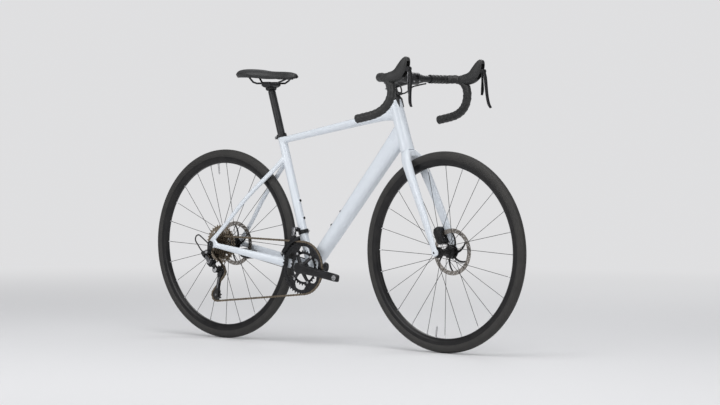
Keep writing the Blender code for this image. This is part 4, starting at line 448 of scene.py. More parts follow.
def softened(node, width=0.0004, angle=28):
    """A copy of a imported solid, merged and with its sharp edges rounded."""
    mesh = bmesh.new()
    mesh.from_mesh(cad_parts[node].data)
    bmesh.ops.remove_doubles(mesh, verts=mesh.verts, dist=0.00002)
    bmesh.ops.dissolve_limit(mesh, angle_limit=math.radians(1.0), verts=mesh.verts, edges=mesh.edges,
                             use_dissolve_boundaries=False)
    soften(mesh, width, angle)
    return mesh


def packed(name, node, body, width=0.0004, angle=28, finish=black_alloy, slot_name="black_alloy"):
    """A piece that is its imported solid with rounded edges."""
    place(name, softened(node, width, angle), body, finish, slot_name, node)


packed("hanger_link", "derailleur_hanger", "frame")

# Seat collar
# A black aluminium ring that is pinched on the top of the seat tube by one steel screw through two
# ears behind it.
steel = surface("brushed_steel_bright", (0.42, 0.42, 0.43), (0.60, 0.60, 0.61), (0.22, 0.38), metallic=1.0,
                grain=120.0, relief=0.00002)
packed("seat_clamp_ring", "seat_collar", "frame", 0.0005)


def fittings_of_steel(name, mesh, body):
    """Bright screws, pins and nipples, as a piece of their own."""
    place(name, mesh, body, steel, "brushed_steel", angle=30)


def cap_screw(mesh, origin, axis, radius, height, socket=0.55):
    """A socket head screw: a low cylinder with a broken edge and a six-sided hole."""
    rim = radius * socket
    turn(mesh, [(rim, height), (radius - 0.0003, height), (radius, height - 0.0003), (radius, 0.0), (0, 0.0)],
         origin, axis, 24)
    turn(mesh, [(0, height * 0.35), (rim, height * 0.35), (rim, height)], origin, axis, 6)


collar_screw = bmesh.new()
collar_place = on_seat_tube(0.4876, -0.0222)
cap_screw(collar_screw, collar_place + Y_AXIS * 0.0072, Y_AXIS, 0.0032, 0.0026)
cap_screw(collar_screw, collar_place - Y_AXIS * 0.0072, -Y_AXIS, 0.0030, 0.0014)
place("seat_clamp_screw", collar_screw, "frame", steel, "brushed_steel")
boss_screws = bmesh.new()
for along in SEAT_TUBE_BOSSES:
    cap_screw(boss_screws, on_seat_tube(along, 0.0180), SEAT_FRONT, 0.0047, 0.0024)
for along in DOWN_TUBE_BOSSES:
    cap_screw(boss_screws, down_low + down_along * along + down_above * 0.0311, down_above, 0.0047, 0.0024)
place("bottle_boss_screws", boss_screws, "frame", black_alloy, "black_alloy", angle=30)

# Headset
# Two sealed steel bearings whose rims show as thin lines at the ends of the head tube, and a tapered
# plastic cover above them.
black_plastic = surface("moulded_black_plastic", (0.010, 0.010, 0.011), (0.020, 0.020, 0.021), (0.42, 0.58),
                        grain=80.0, relief=0.00008, relief_grain=1500.0)
for bearing in ("lower_headset_bearing", "upper_headset_bearing"):
    packed(bearing + "_ring", bearing, "frame", 0.0002, finish=steel, slot_name="brushed_steel")
packed("bearing_cover", "headset_cover", "frame", 0.0006, 40, finish=black_plastic, slot_name="black_plastic")

# Fork
# Two carbon blades and a crown moulded as one piece, painted as the frame is, that turns in the headset.
# The blades sweep forward and thin towards the drop ends, which hold the axle.
fork_mesh = bmesh.new()
blade = [
    (-0.0080, 0.0020, 0.0120, 0.0150, 0.0200), (-0.0370, 0.0120, 0.0345, 0.0125, 0.0195),
    (-0.0900, 0.0205, 0.0430, 0.0112, 0.0180), (-0.2200, 0.0372, 0.0502, 0.0092, 0.0150),
    (-0.3450, 0.0485, 0.0552, 0.0050, 0.0125), (-0.3884, 0.0515, 0.0552, 0.0048, 0.0110),
]
for side in (-1, 1):
    route = [(*on_steerer(along, forward, left * side), half_width, half_depth)
             for along, forward, left, half_width, half_depth in blade]
    tube(fork_mesh, flow(route), 28, power=2.3)
    rod(fork_mesh, 0.0133, 0.0502, 0.0593, FRONT_HUB, Y_AXIS * side, 32)
crown_low, crown_high = on_steerer(-0.0270, 0.004), on_steerer(-0.005)
tube(fork_mesh, [(*crown_low, 0.018, 0.019), (*crown_low.lerp(crown_high, 0.5), 0.0218, 0.0218),
                 (*crown_high, 0.024, 0.023)], 32, power=2.3)
turn(fork_mesh, [(0, -0.0080), (0.0248, -0.0078), (0.0244, -0.0006), (0, -0.0006)], HEAD_BOTTOM, STEER_AXIS)
painted_fork = place("painted_fork", fork_mesh, "steering", white_paint, "white_paint", "fork")
welded(painted_fork, 0.0018, 12)

# Thru-axles
# Black 12 mm steel axles that screw into the right ends. Only the socket heads show, on the left.
END_BODIES = (("front", "steering"), ("rear", "frame"))
for end, body in END_BODIES:
    packed(end + "_axle_rod", end + "_axle", body, 0.0005)

# Brake calipers
# Two-piston disc calipers, black anodised aluminium, on the flat mounts of the fork and the chainstay.
# A piston cap, the banjo screw of the hose and a bleed screw show on the outer side.
for end, body in END_BODIES:
    packed(end + "_caliper_body", end + "_caliper", body, 0.0008)
for end, body in END_BODIES:
    low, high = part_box(end + "_caliper")
    middle = (Vector(low) + Vector(high)) / 2
    outer_side = Vector((middle.x, high[1], middle.z))
    lean = Vector((-0.31, 0, 0.95)) if end == "front" else Vector((0.985, 0, -0.17))
    fittings = bmesh.new()
    turn(fittings, [(0, -0.0004), (0.0098, -0.0004), (0.0102, 0.0004), (0.0094, 0.0012), (0, 0.0012)],
         outer_side, Y_AXIS, 32)
    cap_screw(fittings, outer_side + lean * 0.0190 - Y_AXIS * 0.0003, Y_AXIS, 0.0042, 0.0030)
    cap_screw(fittings, outer_side - lean * 0.0190 - Y_AXIS * 0.0003, Y_AXIS, 0.0027, 0.0018)
    fittings_of_steel(end + "_caliper_fittings", fittings, body)

# Tyres
# 32 mm road tyres of matt black rubber with a fine grain. A shallow line runs round on each side of the
# tread.
WHEEL_BODIES = (("front", FRONT_HUB, "front_wheel"), ("rear", REAR_HUB, "rear_wheel"))
rubber = surface("tyre_rubber", (0.018, 0.017, 0.016), (0.030, 0.028, 0.026), (0.55, 0.72), grain=30.0,
                 relief=0.00012, relief_grain=900.0)
TYRE_MIDDLE, TYRE_HALF, TYRE_BEAD = 0.3270, 0.0160, 0.3108


def tyre_section():
    """Half the tyre's section, from the crown down to the bead."""
    half = [(TYRE_MIDDLE + TYRE_HALF * math.cos(math.radians(lean)), TYRE_HALF * math.sin(math.radians(lean)))
            for lean in range(0, 121, 8)]
    groove = [(radius - (0.0004 if 5 == i else 0.0), y) for i, (radius, y) in enumerate(half)]
    return groove + [(0.3140, 0.0104), (TYRE_BEAD, 0.0088)]


for end, hub, body in WHEEL_BODIES:
    mesh = bmesh.new()
    half = tyre_section()
    turn(mesh, [(radius, -y) for radius, y in reversed(half)] + half[1:], hub, Y_AXIS, 144, closed=True)
    place(end + "_road_tyre", mesh, body, rubber, "tyre", end + "_tyre", 40)

# Rims
# Black anodised aluminium rims, 24 mm wide, with rounded shoulders, a spoke bed and a brushed steel
# valve stem that stands in it.
rim_black = surface("anodised_rim", (0.010, 0.010, 0.011), (0.020, 0.019, 0.019), (0.26, 0.36), metallic=0.5,
                    grain=25.0, relief=0.00002)
RIM_HALF = [(0.3100, 0.0090), (0.3150, 0.0103), (0.3166, 0.0108), (0.3170, 0.0114), (0.3164, 0.0119),
            (0.3150, 0.0120), (0.3050, 0.0120), (0.3025, 0.0115), (0.2962, 0.0080), (0.2940, 0.0058),
            (0.2935, 0.0035), (0.2933, 0.0)]
RIM_BED = 0.2935
for end, hub, body in WHEEL_BODIES:
    mesh = bmesh.new()
    turn(mesh, RIM_HALF + [(radius, -y) for radius, y in reversed(RIM_HALF[:-1])], hub, Y_AXIS, 144,
         closed=True)
    place(end + "_rim_hoop", mesh, body, rim_black, "rim", end + "_rim")
    valve = bmesh.new()
    lean = math.radians(262.5 if end == "front" else 97.5)
    inward = -outward(lean)
    turn(valve, [(0, 0.0), (0.0050, 0.0), (0.0050, 0.0012), (0.0045, 0.0020), (0.0030, 0.0020),
                 (0.0030, 0.0260), (0.0026, 0.0275), (0.0026, 0.0300), (0.0031, 0.0305), (0.0031, 0.0350),
                 (0.0014, 0.0362), (0.0014, 0.0400), (0, 0.0402)], hub - inward * RIM_BED, inward, 20)
    place(end + "_valve_stem", valve, body, steel, "brushed_steel")

# Hubs and spokes
# Black hub shells with two flanges. Each is laced to its rim with 24 thin black steel spokes that
# cross their neighbours, and silver nipples show at the rim.
spoke_black = surface("spoke_black", (0.010, 0.010, 0.010), (0.020, 0.020, 0.021), (0.28, 0.40),
                      metallic=0.6, grain=90.0)
SPOKE_STEP, SPOKE_END = math.radians(30), 0.2932
hub_shapes = {
    "front": ([(0.0072, -0.0455), (0.0105, -0.0455), (0.0110, -0.0385), (0.0190, -0.0370), (0.0190, -0.0320),
               (0.0120, -0.0290), (0.0112, -0.0050), (0.0120, 0.0180), (0.0205, 0.0205), (0.0205, 0.0255),
               (0.0170, 0.0265), (0.0170, 0.0417), (0.0105, 0.0455), (0.0072, 0.0455)], (0.0230, -0.0345),
               0.0165),
    "rear": ([(0.0072, -0.0215), (0.0165, -0.0215), (0.0225, -0.0210), (0.0225, -0.0160), (0.0150, -0.0130),
              (0.0140, 0.0080), (0.0150, 0.0280), (0.0215, 0.0315), (0.0215, 0.0365), (0.0170, 0.0380),
              (0.0170, 0.0544), (0.0110, 0.0600), (0.0072, 0.0600)], (0.0340, -0.0185), 0.0190),
}
for end, hub, body in WHEEL_BODIES:
    profile, flanges, flange_radius = hub_shapes[end]
    mesh = bmesh.new()
    turn(mesh, profile, hub, Y_AXIS, 48, closed=True)
    soften(mesh, 0.0004, 30)
    nipples = bmesh.new()
    for flange_number, flange in enumerate(flanges):
        for spoke in range(12):
            start = (spoke + 0.5 * flange_number) * SPOKE_STEP
            lean = 1 if spoke % 2 else -1
            finish = start + lean * 2 * SPOKE_STEP
            low = hub + outward(start) * flange_radius + Y_AXIS * (flange + lean * 0.0012)
            high = hub + outward(finish) * SPOKE_END + Y_AXIS * math.copysign(0.0015, flange)
            along = (high - low).normalized()
            tube(mesh, [(*low, 0.00115, 0.00115), (*(low + along * 0.012), 0.0009, 0.0009),
                        (*(high - along * 0.02), 0.0009, 0.0009), (*high, 0.001, 0.001)], 8)
            turn(mesh, [(0, -0.0012), (0.0016, -0.0009), (0.0019, 0.0), (0.0, 0.0002)],
                 low - Y_AXIS * lean * 0.0012, -Y_AXIS * lean, 10)
            turn(nipples, [(0.0010, -0.0110), (0.0017, -0.0108), (0.0018, -0.0050), (0.0022, -0.0042),
                           (0.0022, 0.0), (0, 0.0)], high, along, 10)
    place(end + "_hub_shell", mesh, body, spoke_black, "hub_and_spokes", end + "_hub", 30)
    fittings_of_steel(end + "_nipples", nipples, body)

# Brake rotors
# 160 mm stainless rings with slanting rows of round holes, ground dull, on black carriers with six arms
# that are swept back.
rotor_steel = surface("ground_rotor_steel", (0.22, 0.20, 0.18), (0.36, 0.33, 0.30), (0.26, 0.40),
                      metallic=1.0, grain=160.0, relief=0.00003, relief_grain=2500.0)
ROTOR_LEFT = {"front": 0.0395, "rear": 0.0522}
ARM_SWEEP = math.radians(32)
for end, hub, body in WHEEL_BODIES:
    ring_mesh = bmesh.new()
    holes = [circle(0.0800, 96), circle(0.0652, 96)]
    for row in range(24):
        for radius, offset, size in ((0.0768, 0.0, 0.0017), (0.0727, 0.075, 0.0019), (0.0687, 0.15, 0.0017)):
            holes.append(circle(size, 8, polar(radius, row * math.radians(15) + offset)))
    middle = hub + Y_AXIS * ROTOR_LEFT[end]
    slab(ring_mesh, holes, -0.0009, 0.0009, middle, X_AXIS, Z_AXIS)
    place(end + "_rotor_ring", ring_mesh, body, rotor_steel, "brushed_steel", end + "_rotor", 20)
    carrier = bmesh.new()
    turn(carrier, [(0.0174, -0.0010), (0.0240, -0.0010), (0.0240, 0.0010), (0.0174, 0.0010)],
         middle, Y_AXIS, 48, closed=True)
    turn(carrier, [(0.0120, 0.0011), (0.0205, 0.0011), (0.0205, 0.0036), (0.0190, 0.0046), (0.0120, 0.0046)],
         middle, Y_AXIS, 48, closed=True)
    for arm in range(6):
        start = arm * math.radians(60)
        points = []
        for share in (0.0, 0.25, 0.5, 0.75, 1.0):
            radius = 0.0215 + (0.0665 - 0.0215) * share
            lean = start + ARM_SWEEP * share
            points.append((*(middle + outward(lean) * radius), 0.0009, 0.0042 - 0.0012 * share))
        tube(carrier, flow(points, 3), 12, Y_AXIS, 4.0)
    place(end + "_rotor_carrier", carrier, body, black_alloy, "black_alloy", angle=30)

# Cassette
# Ten steel cogs from 34 teeth beside the spokes down to 11, on the freehub, held by a lockring. The
# larger ones are opened out with round holes, and the steel is warm and brownish with oil.
cog_steel = surface("oiled_cog_steel", (0.20, 0.165, 0.125), (0.36, 0.31, 0.25), (0.25, 0.42), metallic=1.0,
                    grain=110.0, relief=0.00003)
COGS = (34, 30, 25, 23, 21, 19, 17, 15, 13, 11)
FIRST_COG_Y, COG_STEP, COG_HALF = -0.0245, 0.00395, 0.0008
LINK, ROLLER = 0.0127, 0.0036
CHAIN_COG, RING_TEETH, INNER_TEETH, PULLEY_TEETH = 15, 46, 30, 11
OUTER_RING_Y, INNER_RING_Y = -0.0470, -0.0405
CHAIN_COG_Y = FIRST_COG_Y - COGS.index(CHAIN_COG) * COG_STEP


def pitch_radius(teeth):
    return LINK / (2 * math.sin(math.pi / teeth))


def toothed(teeth, phase, tip=0.0024, seat=0.0040):
    """The outline of a sprocket: round seats for the rollers, with a blunt tooth between them."""
    pitch = pitch_radius(teeth)
    outline = []
    for tooth in range(teeth):
        seat_at = phase + 2 * math.pi * (tooth - 0.5) / teeth
        centre = Vector((math.cos(seat_at), math.sin(seat_at))) * pitch
        for lean in (-62, 0, 62):
            facing = seat_at + math.pi - math.radians(lean)
            outline.append((centre.x + seat * math.cos(facing), centre.y + seat * math.sin(facing)))
        middle = phase + 2 * math.pi * tooth / teeth
        for lean in (-0.0009, 0.0009):
            turn_by = middle + lean / pitch
            outline.append(((pitch + tip) * math.cos(turn_by), (pitch + tip) * math.sin(turn_by)))
    return outline


CAGE_PIVOT = REAR_HUB + Vector((0.0200, CHAIN_COG_Y, -0.0915))
CAGE_ANGLE = math.radians(-13.584)


def flat(point):
    return Vector((point.x, point.z))


def swung(x, z):
    """A point of the derailleur cage in side view, from its pivot, turned as the chain's tension holds it."""
    return flat(CAGE_PIVOT) + Vector((x * math.cos(CAGE_ANGLE) - z * math.sin(CAGE_ANGLE),
                                      x * math.sin(CAGE_ANGLE) + z * math.cos(CAGE_ANGLE)))


GUIDE, TENSION = swung(0.0075, -0.0055), swung(0.0075, -0.0935)


def chain_course():
    """The chain's arcs and straight runs, in order: big ring, cog, guide pulley, tension pulley."""
    wheels = [(flat(BB), pitch_radius(RING_TEETH), 1, OUTER_RING_Y),
              (flat(REAR_HUB), pitch_radius(CHAIN_COG), 1, CHAIN_COG_Y),
              (GUIDE, pitch_radius(PULLEY_TEETH), -1, CHAIN_COG_Y),
              (TENSION, pitch_radius(PULLEY_TEETH), 1, CHAIN_COG_Y)]
    headings = []
    for first, second in zip(wheels, wheels[1:] + wheels[:1]):
        gap = second[0] - first[0]
        lean = math.asin((first[2] * first[1] - second[2] * second[1]) / gap.length)
        headings.append(math.atan2(gap.y, gap.x) + lean)
    course = []
    for i, (centre, radius, way, left) in enumerate(wheels):
        sweep = (way * (headings[i] - headings[i - 1])) % (2 * math.pi)
        course.append(("arc", centre, radius, way, left, headings[i - 1], radius * sweep))
        away = Vector((math.sin(headings[i]), -math.cos(headings[i])))
        following = wheels[(i + 1) % len(wheels)]
        start, end = centre + away * way * radius, following[0] + away * following[2] * following[1]
        course.append(("run", start, end, left, following[3], 0, (end - start).length))
    return course


CHAIN_LINKS = 114
COURSE = chain_course()
CHAIN_PITCH = sum(part[-1] for part in COURSE) / CHAIN_LINKS


def pin_at(number):
    """Where one pin of the chain lies."""
    along = number * CHAIN_PITCH
    for part in COURSE:
        if along <= part[-1] or part is COURSE[-1]:
            break
        along -= part[-1]
    if part[0] == "arc":
        centre, radius, way, left, heading = part[1:6]
        heading += way * along / radius
        point = centre + Vector((math.sin(heading), -math.cos(heading))) * way * radius
    else:
        start, end, left, far_left = part[1:5]
        share = along / part[-1]
        point = start.lerp(end, share)
        left = left + (far_left - left) * share * share * (3 - 2 * share)
    return Vector((point.x, left, point.y))


PINS = [pin_at(number) for number in range(CHAIN_LINKS)]


def meshing(centre, teeth, left):
    """The angle of a tooth that stands between two pins of the chain on this wheel."""
    for pin in PINS:
        offset = flat(pin) - centre
        if abs(offset.length - pitch_radius(teeth)) < 0.0001 and abs(pin.y - left) < 0.0001:
            return math.atan2(offset.y, offset.x) + math.pi / teeth
    return 0.0


cogs = bmesh.new()
for number, teeth in enumerate(COGS):
    left = FIRST_COG_Y - number * COG_STEP
    outlines = [toothed(teeth, meshing(flat(REAR_HUB), teeth, left)), circle(0.0150, 40)]
    root = pitch_radius(teeth) - 0.0040
    if teeth >= 21:
        middle, size = (root + 0.0200) / 2, (root - 0.0200) / 2 - 0.0022
        holes = int(2 * math.pi * middle / (2 * size + 0.0045))
        outlines += hole_row(holes, middle, size, 14, number * 0.2)
    slab(cogs, outlines, -left - COG_HALF, -left + COG_HALF, REAR_HUB)
    if number:
        turn(cogs, [(0.0168, left + 0.0009), (0.0196, left + 0.0009), (0.0196, left + COG_STEP - 0.0009),
                    (0.0168, left + COG_STEP - 0.0009)], REAR_HUB, Y_AXIS, 40, closed=True)
place("cassette_cogs", cogs, "cassette", cog_steel, "chain_steel", "cassette", 25)
lockring = bmesh.new()
last_cog = FIRST_COG_Y - (len(COGS) - 1) * COG_STEP
turn(lockring, [(0.0072, last_cog - 0.0008), (0.0158, last_cog - 0.0008), (0.0156, last_cog - 0.0018),
                (0.0118, last_cog - 0.0020), (0.0112, last_cog + 0.0010), (0.0072, last_cog + 0.0010)],
     REAR_HUB, Y_AXIS, 40, closed=True)
for spline in range(24):
    foot = REAR_HUB + outward(2 * math.pi * spline / 24) * 0.0112
    stick(lockring, foot + Y_AXIS * (last_cog - 0.0019), foot + Y_AXIS * (last_cog + 0.0008), 0.0005, 6)
place("cassette_lockring", lockring, "cassette", black_alloy, "black_alloy", angle=30)

# Bottom bracket
# Two black bearing cups that screw into the shell, with fine ribs for the spanner.
cups = bmesh.new()
for side in (-1, 1):
    turn(cups, [(0.0122, 0.0342), (0.0205, 0.0342), (0.0214, 0.0352), (0.0214, 0.0420), (0.0205, 0.0432),
                (0.0190, 0.0446), (0.0122, 0.0448)], BB, Y_AXIS * side, 48, closed=True)
    for rib in range(16):
        foot = BB + outward(2 * math.pi * rib / 16) * 0.0208
        stick(cups, foot + Y_AXIS * side * 0.0358, foot + Y_AXIS * side * 0.0428, 0.0010, 8)
place("bearing_cups", cups, "frame", black_alloy, "black_alloy", "bottom_bracket", 30)

# Crankset
# Forged black aluminium arms, 172.5 mm long. The right arm's spider of four legs carries a 46-tooth
# and a 30-tooth ring on silver bolts, and its spindle is pinched in the left arm by two screws.
CRANK_ANGLE = math.radians(-9.3)
CRANK_LENGTH = 0.1725
crank_black = surface("forged_crank_black", (0.012, 0.012, 0.013), (0.026, 0.026, 0.028), (0.24, 0.36),
                      metallic=0.55, grain=45.0, relief=0.00003)
SPIDER_LEGS = [math.radians(leg) for leg in (55, 125, -125, -55)]
crank_stations = [(-0.0200, 0.0095, 0.0062), (-0.0110, 0.0180, 0.0078), (0.0350, 0.0160, 0.0080),
                  (0.1000, 0.0140, 0.0072), (0.1785, 0.0135, 0.0062), (0.1870, 0.0075, 0.0045)]
for side, name, lean in ((-1, "right", CRANK_ANGLE), (1, "left", CRANK_ANGLE + math.pi)):
    reach_way = outward(lean)
    arm = bmesh.new()
    route = [(*(BB + reach_way * reach + Y_AXIS * side * 0.0655), half_left, half_up)
             for reach, half_up, half_left in crank_stations]
    tube(arm, flow(route, 6), 32, power=3.0)
    turn(arm, [(0, 0.0580), (0.0124, 0.0580), (0.0128, 0.0586), (0.0128, 0.0732), (0.0122, 0.0738),
               (0, 0.0738)],
         BB + reach_way * CRANK_LENGTH, Y_AXIS * side, 40)
    if side < 0:
        turn(arm, [(0, 0.0456), (0.0200, 0.0456), (0.0205, 0.0462), (0.0205, 0.0700), (0.0180, 0.0722),
                   (0, 0.0728)],
             BB, Y_AXIS * side, 48)
        rod(arm, 0.0119, 0.0345, 0.0500, BB, Y_AXIS * side, 32)
        for leg in SPIDER_LEGS:
            out = outward(CRANK_ANGLE + leg)
            legs = [(0.0150, 0.0516, 0.0080, 0.0052), (0.0300, 0.0506, 0.0070, 0.0042),
                    (0.0420, 0.0482, 0.0064, 0.0034), (0.0520, 0.0437, 0.0068, 0.0020),
                    (0.0605, 0.0437, 0.0050, 0.0018)]
            tube(arm, flow([(*(BB + out * reach - Y_AXIS * down), half_width, half_thick)
                            for reach, down, half_width, half_thick in legs], 4), 16, Y_AXIS.cross(out), 3.0)
    else:
        turn(arm, [(0, 0.0456), (0.0186, 0.0456), (0.0190, 0.0462), (0.0190, 0.0715), (0.0170, 0.0728),
                   (0, 0.0728)],
             BB, Y_AXIS * side, 48)
    crank = place(name + "_crank_arm", arm, "crankset", crank_black, "black_alloy", name + "_crank")
    welded(crank, 0.0009, 4)
    hole = bmesh.new()
    rod(hole, 0.0072, 0.0500, 0.0800, BB + reach_way * CRANK_LENGTH, Y_AXIS * side, 32)
    cut_out(crank, hole)
pinch = bmesh.new()
left_way = outward(CRANK_ANGLE + math.pi)
crank_up = Vector((-left_way.z, 0, left_way.x))
# The bright steel rings round both pedal holes are painted highlights, set where the ends of the arms catch
# the light.
for side, lean in ((-1, CRANK_ANGLE), (1, CRANK_ANGLE + math.pi)):
    pedal_end = BB + outward(lean) * CRANK_LENGTH
    turn(pinch, [(0.0066, 0.0585), (0.0072, 0.0575), (0.0096, 0.0575), (0.0096, 0.0580), (0.0076, 0.0741),
                 (0.0092, 0.0741), (0.0092, 0.0746), (0.0066, 0.0746)], pedal_end, Y_AXIS * side, 32,
                 closed=True)
for left in (0.0545, 0.0650):
    cap_screw(pinch, BB + left_way * 0.0150 + crank_up * 0.0166 + Y_AXIS * left, crank_up, 0.0030, 0.0016)
turn(pinch, [(0.0040, 0.0716), (0.0085, 0.0716), (0.0085, 0.0728), (0.0040, 0.0728)], BB, Y_AXIS, 32,
     closed=True)
fittings_of_steel("crank_screws_and_painted_highlight_rings", pinch, "crankset")

# Chainrings
# Two black aluminium rings with machined teeth. The outer one is cut away between its four tabs.
ring_black = surface("machined_ring_black", (0.014, 0.014, 0.015), (0.034, 0.034, 0.036), (0.22, 0.36),
                     metallic=0.7, grain=120.0, relief=0.00003)
outer_ring = bmesh.new()
opening = []
for leg in sorted(SPIDER_LEGS):
    for lean, reach in ((-0.52, 0.0780), (-0.36, 0.0760), (-0.22, 0.0660), (-0.13, 0.0500), (0.0, 0.0482),
                        (0.13, 0.0500), (0.22, 0.0660), (0.36, 0.0760), (0.52, 0.0780)):
        opening.append(polar(reach, CRANK_ANGLE + leg + lean))
slab(outer_ring, [toothed(RING_TEETH, meshing(flat(BB), RING_TEETH, OUTER_RING_Y)), opening],
     -OUTER_RING_Y - COG_HALF, -OUTER_RING_Y + COG_HALF, BB)
turn(outer_ring, [(0.0800, OUTER_RING_Y + COG_HALF), (0.0800, OUTER_RING_Y - 0.0013),
                  (0.0850, OUTER_RING_Y - 0.0013), (0.0868, OUTER_RING_Y - COG_HALF + 0.0001)], BB, Y_AXIS,
                  92, closed=True)
place("outer_ring_46", outer_ring, "crankset", ring_black, "black_alloy", "outer_chainring", 25)
inner_ring = bmesh.new()
slab(inner_ring, [toothed(INNER_TEETH, 0.0), circle(0.0492, 72)], -INNER_RING_Y - COG_HALF,
     -INNER_RING_Y + COG_HALF, BB)
place("inner_ring_30", inner_ring, "crankset", ring_black, "black_alloy", "inner_chainring", 25)
ring_bolts = bmesh.new()
for leg in SPIDER_LEGS:
    spot = BB + outward(CRANK_ANGLE + leg) * 0.0550
    cap_screw(ring_bolts, spot - Y_AXIS * 0.0478, -Y_AXIS, 0.0048, 0.0014, 0.5)
fittings_of_steel("chainring_bolts", ring_bolts, "crankset")

# Chain
# 114 half-inch links of oiled steel: waisted inner and outer plates in pairs, a roller on each bush and
# a riveted pin through each joint. It runs from the big ring over the cog of 15 teeth.
chain_steel = surface("oiled_chain_steel", (0.13, 0.105, 0.075), (0.26, 0.215, 0.165), (0.26, 0.42),
                      metallic=1.0, grain=140.0, relief=0.00003)
chain_mesh = bmesh.new()
PLATE_END, PLATE_WAIST = 0.0037, 0.0029
plate_outline = [
    *arc(PLATE_END, 60, 301, 30), (CHAIN_PITCH / 2, -PLATE_WAIST),
    *arc(PLATE_END, -120, 121, 30, (CHAIN_PITCH, 0)), (CHAIN_PITCH / 2, PLATE_WAIST),
]
for number, pin in enumerate(PINS):
    following = PINS[(number + 1) % CHAIN_LINKS]
    along = (following - pin).normalized()
    across = (Y_AXIS - along * along.dot(Y_AXIS)).normalized()
    inner, outer = (0.0019, 0.0026) if number % 2 else (0.0011, 0.0018)
    for side in (-1, 1):
        low, high = (inner, outer) if side > 0 else (-outer, -inner)
        slab(chain_mesh, [plate_outline], low, high, pin, along, across.cross(along))
    rod(chain_mesh, ROLLER, -0.0010, 0.0010, pin, Y_AXIS, 12)
    turn(chain_mesh, [(0, -0.00272), (0.0016, -0.00265), (0.0016, 0.00265), (0, 0.00272)], pin, Y_AXIS, 8)
place("chain_links", chain_mesh, "frame", chain_steel, "chain_steel", "chain", 25)

# Rear derailleur
# A black aluminium parallelogram: an upper knuckle on the hanger bolt, two links on steel pins, a lower
# knuckle with a barrel for the spring, and a long cage of two plates with a polished rib.
LINK_AXIS, LINK_LEVEL = Vector((0.6, 0, 0.8)), Vector((0.8, 0, -0.6))
LINK_ALONG = LINK_LEVEL * math.cos(math.radians(-20)) + Y_AXIS * math.sin(math.radians(-20))
OUTER_UPPER_PIVOT = REAR_HUB + Vector((-0.0250, -0.0755, -0.0415))
LINK_SPREAD, LINK_LENGTH = 0.0130, 0.040
HANGER_BOLT = REAR_HUB + Vector((-0.006, 0, -0.0280))
grey_metal = surface("polished_grey_alloy", (0.18, 0.18, 0.19), (0.34, 0.34, 0.35), (0.20, 0.34),
                     metallic=1.0, grain=70.0, relief=0.00002)
packed("derailleur_knuckle", "rd_knuckle", "frame", 0.0006)
packed("derailleur_inner_link", "rd_inner_link", "rd_inner_link", 0.0008)
packed("derailleur_outer_link", "rd_outer_link", "rd_outer_link", 0.0010, finish=grey_metal)
packed("derailleur_p_knuckle", "rd_p_knuckle", "rd_p_knuckle", 0.0007)
packed("derailleur_cage_plates", "rd_cage", "rd_cage", 0.0004)


def pin_heads(mesh, upper_pivot):
    """The heads at both ends of the two links' pins."""
    for pivot in (upper_pivot, upper_pivot + Y_AXIS * LINK_SPREAD):
        for way in (-1, 1):
            turn(mesh, [(0, 0.0114), (0.0028, 0.0114), (0.0030, 0.0120), (0.0022, 0.0127), (0, 0.0128)],
                 pivot, LINK_AXIS * way, 20)


link_pins = bmesh.new()
pin_heads(link_pins, OUTER_UPPER_PIVOT)
cap_screw(link_pins, HANGER_BOLT - Y_AXIS * 0.0960, -Y_AXIS, 0.0056, 0.0018, 0.6)
fittings_of_steel("knuckle_pin_heads", link_pins, "frame")
lower_pins = bmesh.new()
pin_heads(lower_pins, OUTER_UPPER_PIVOT + LINK_ALONG * LINK_LENGTH)
turn(lower_pins, [(0, 0.0795), (0.0086, 0.0795), (0.0090, 0.0801), (0.0086, 0.0807), (0.0060, 0.0810),
                  (0, 0.0810)],
     Vector((CAGE_PIVOT.x, 0, CAGE_PIVOT.z)), -Y_AXIS, 32)
fittings_of_steel("lower_pin_heads", lower_pins, "rd_p_knuckle")
cage_trim = bmesh.new()
for spot in (GUIDE, TENSION):
    cap_screw(cage_trim, Vector((spot.x, CHAIN_COG_Y - 0.0056, spot.y)), -Y_AXIS, 0.0036, 0.0012, 0.5)
low_edge = GUIDE.lerp(TENSION, 0.24)
high_edge = GUIDE.lerp(TENSION, 0.72)
tube(cage_trim, [(low_edge.x, CHAIN_COG_Y - 0.0057, low_edge.y, 0.0004, 0.0022),
                 (high_edge.x, CHAIN_COG_Y - 0.0057, high_edge.y, 0.0004, 0.0022)], 12, Y_AXIS, 3.0)
place("cage_screws_and_rib", cage_trim, "rd_cage", grey_metal, "brushed_steel", angle=30)

# Pulleys
# Two black plastic jockey wheels of eleven teeth, each with a wide hub and six round holes.
for name, spot in (("guide", GUIDE), ("tension", TENSION)):
    centre = Vector((spot.x, CHAIN_COG_Y, spot.y))
    wheel = bmesh.new()
    outlines = [toothed(PULLEY_TEETH, meshing(spot, PULLEY_TEETH, CHAIN_COG_Y)), circle(0.0060, 24)]
    outlines += hole_row(6, 0.0118, 0.0024, 12)
    slab(wheel, outlines, -0.0009, 0.0009, centre)
    turn(wheel, [(0.0027, -0.0036), (0.0070, -0.0036), (0.0074, -0.0030), (0.0074, 0.0030), (0.0070, 0.0036),
                 (0.0027, 0.0036)], centre, Y_AXIS, 32, closed=True)
    place(name + "_jockey_wheel", wheel, name + "_pulley", black_plastic, "black_plastic", name + "_pulley",
          25)

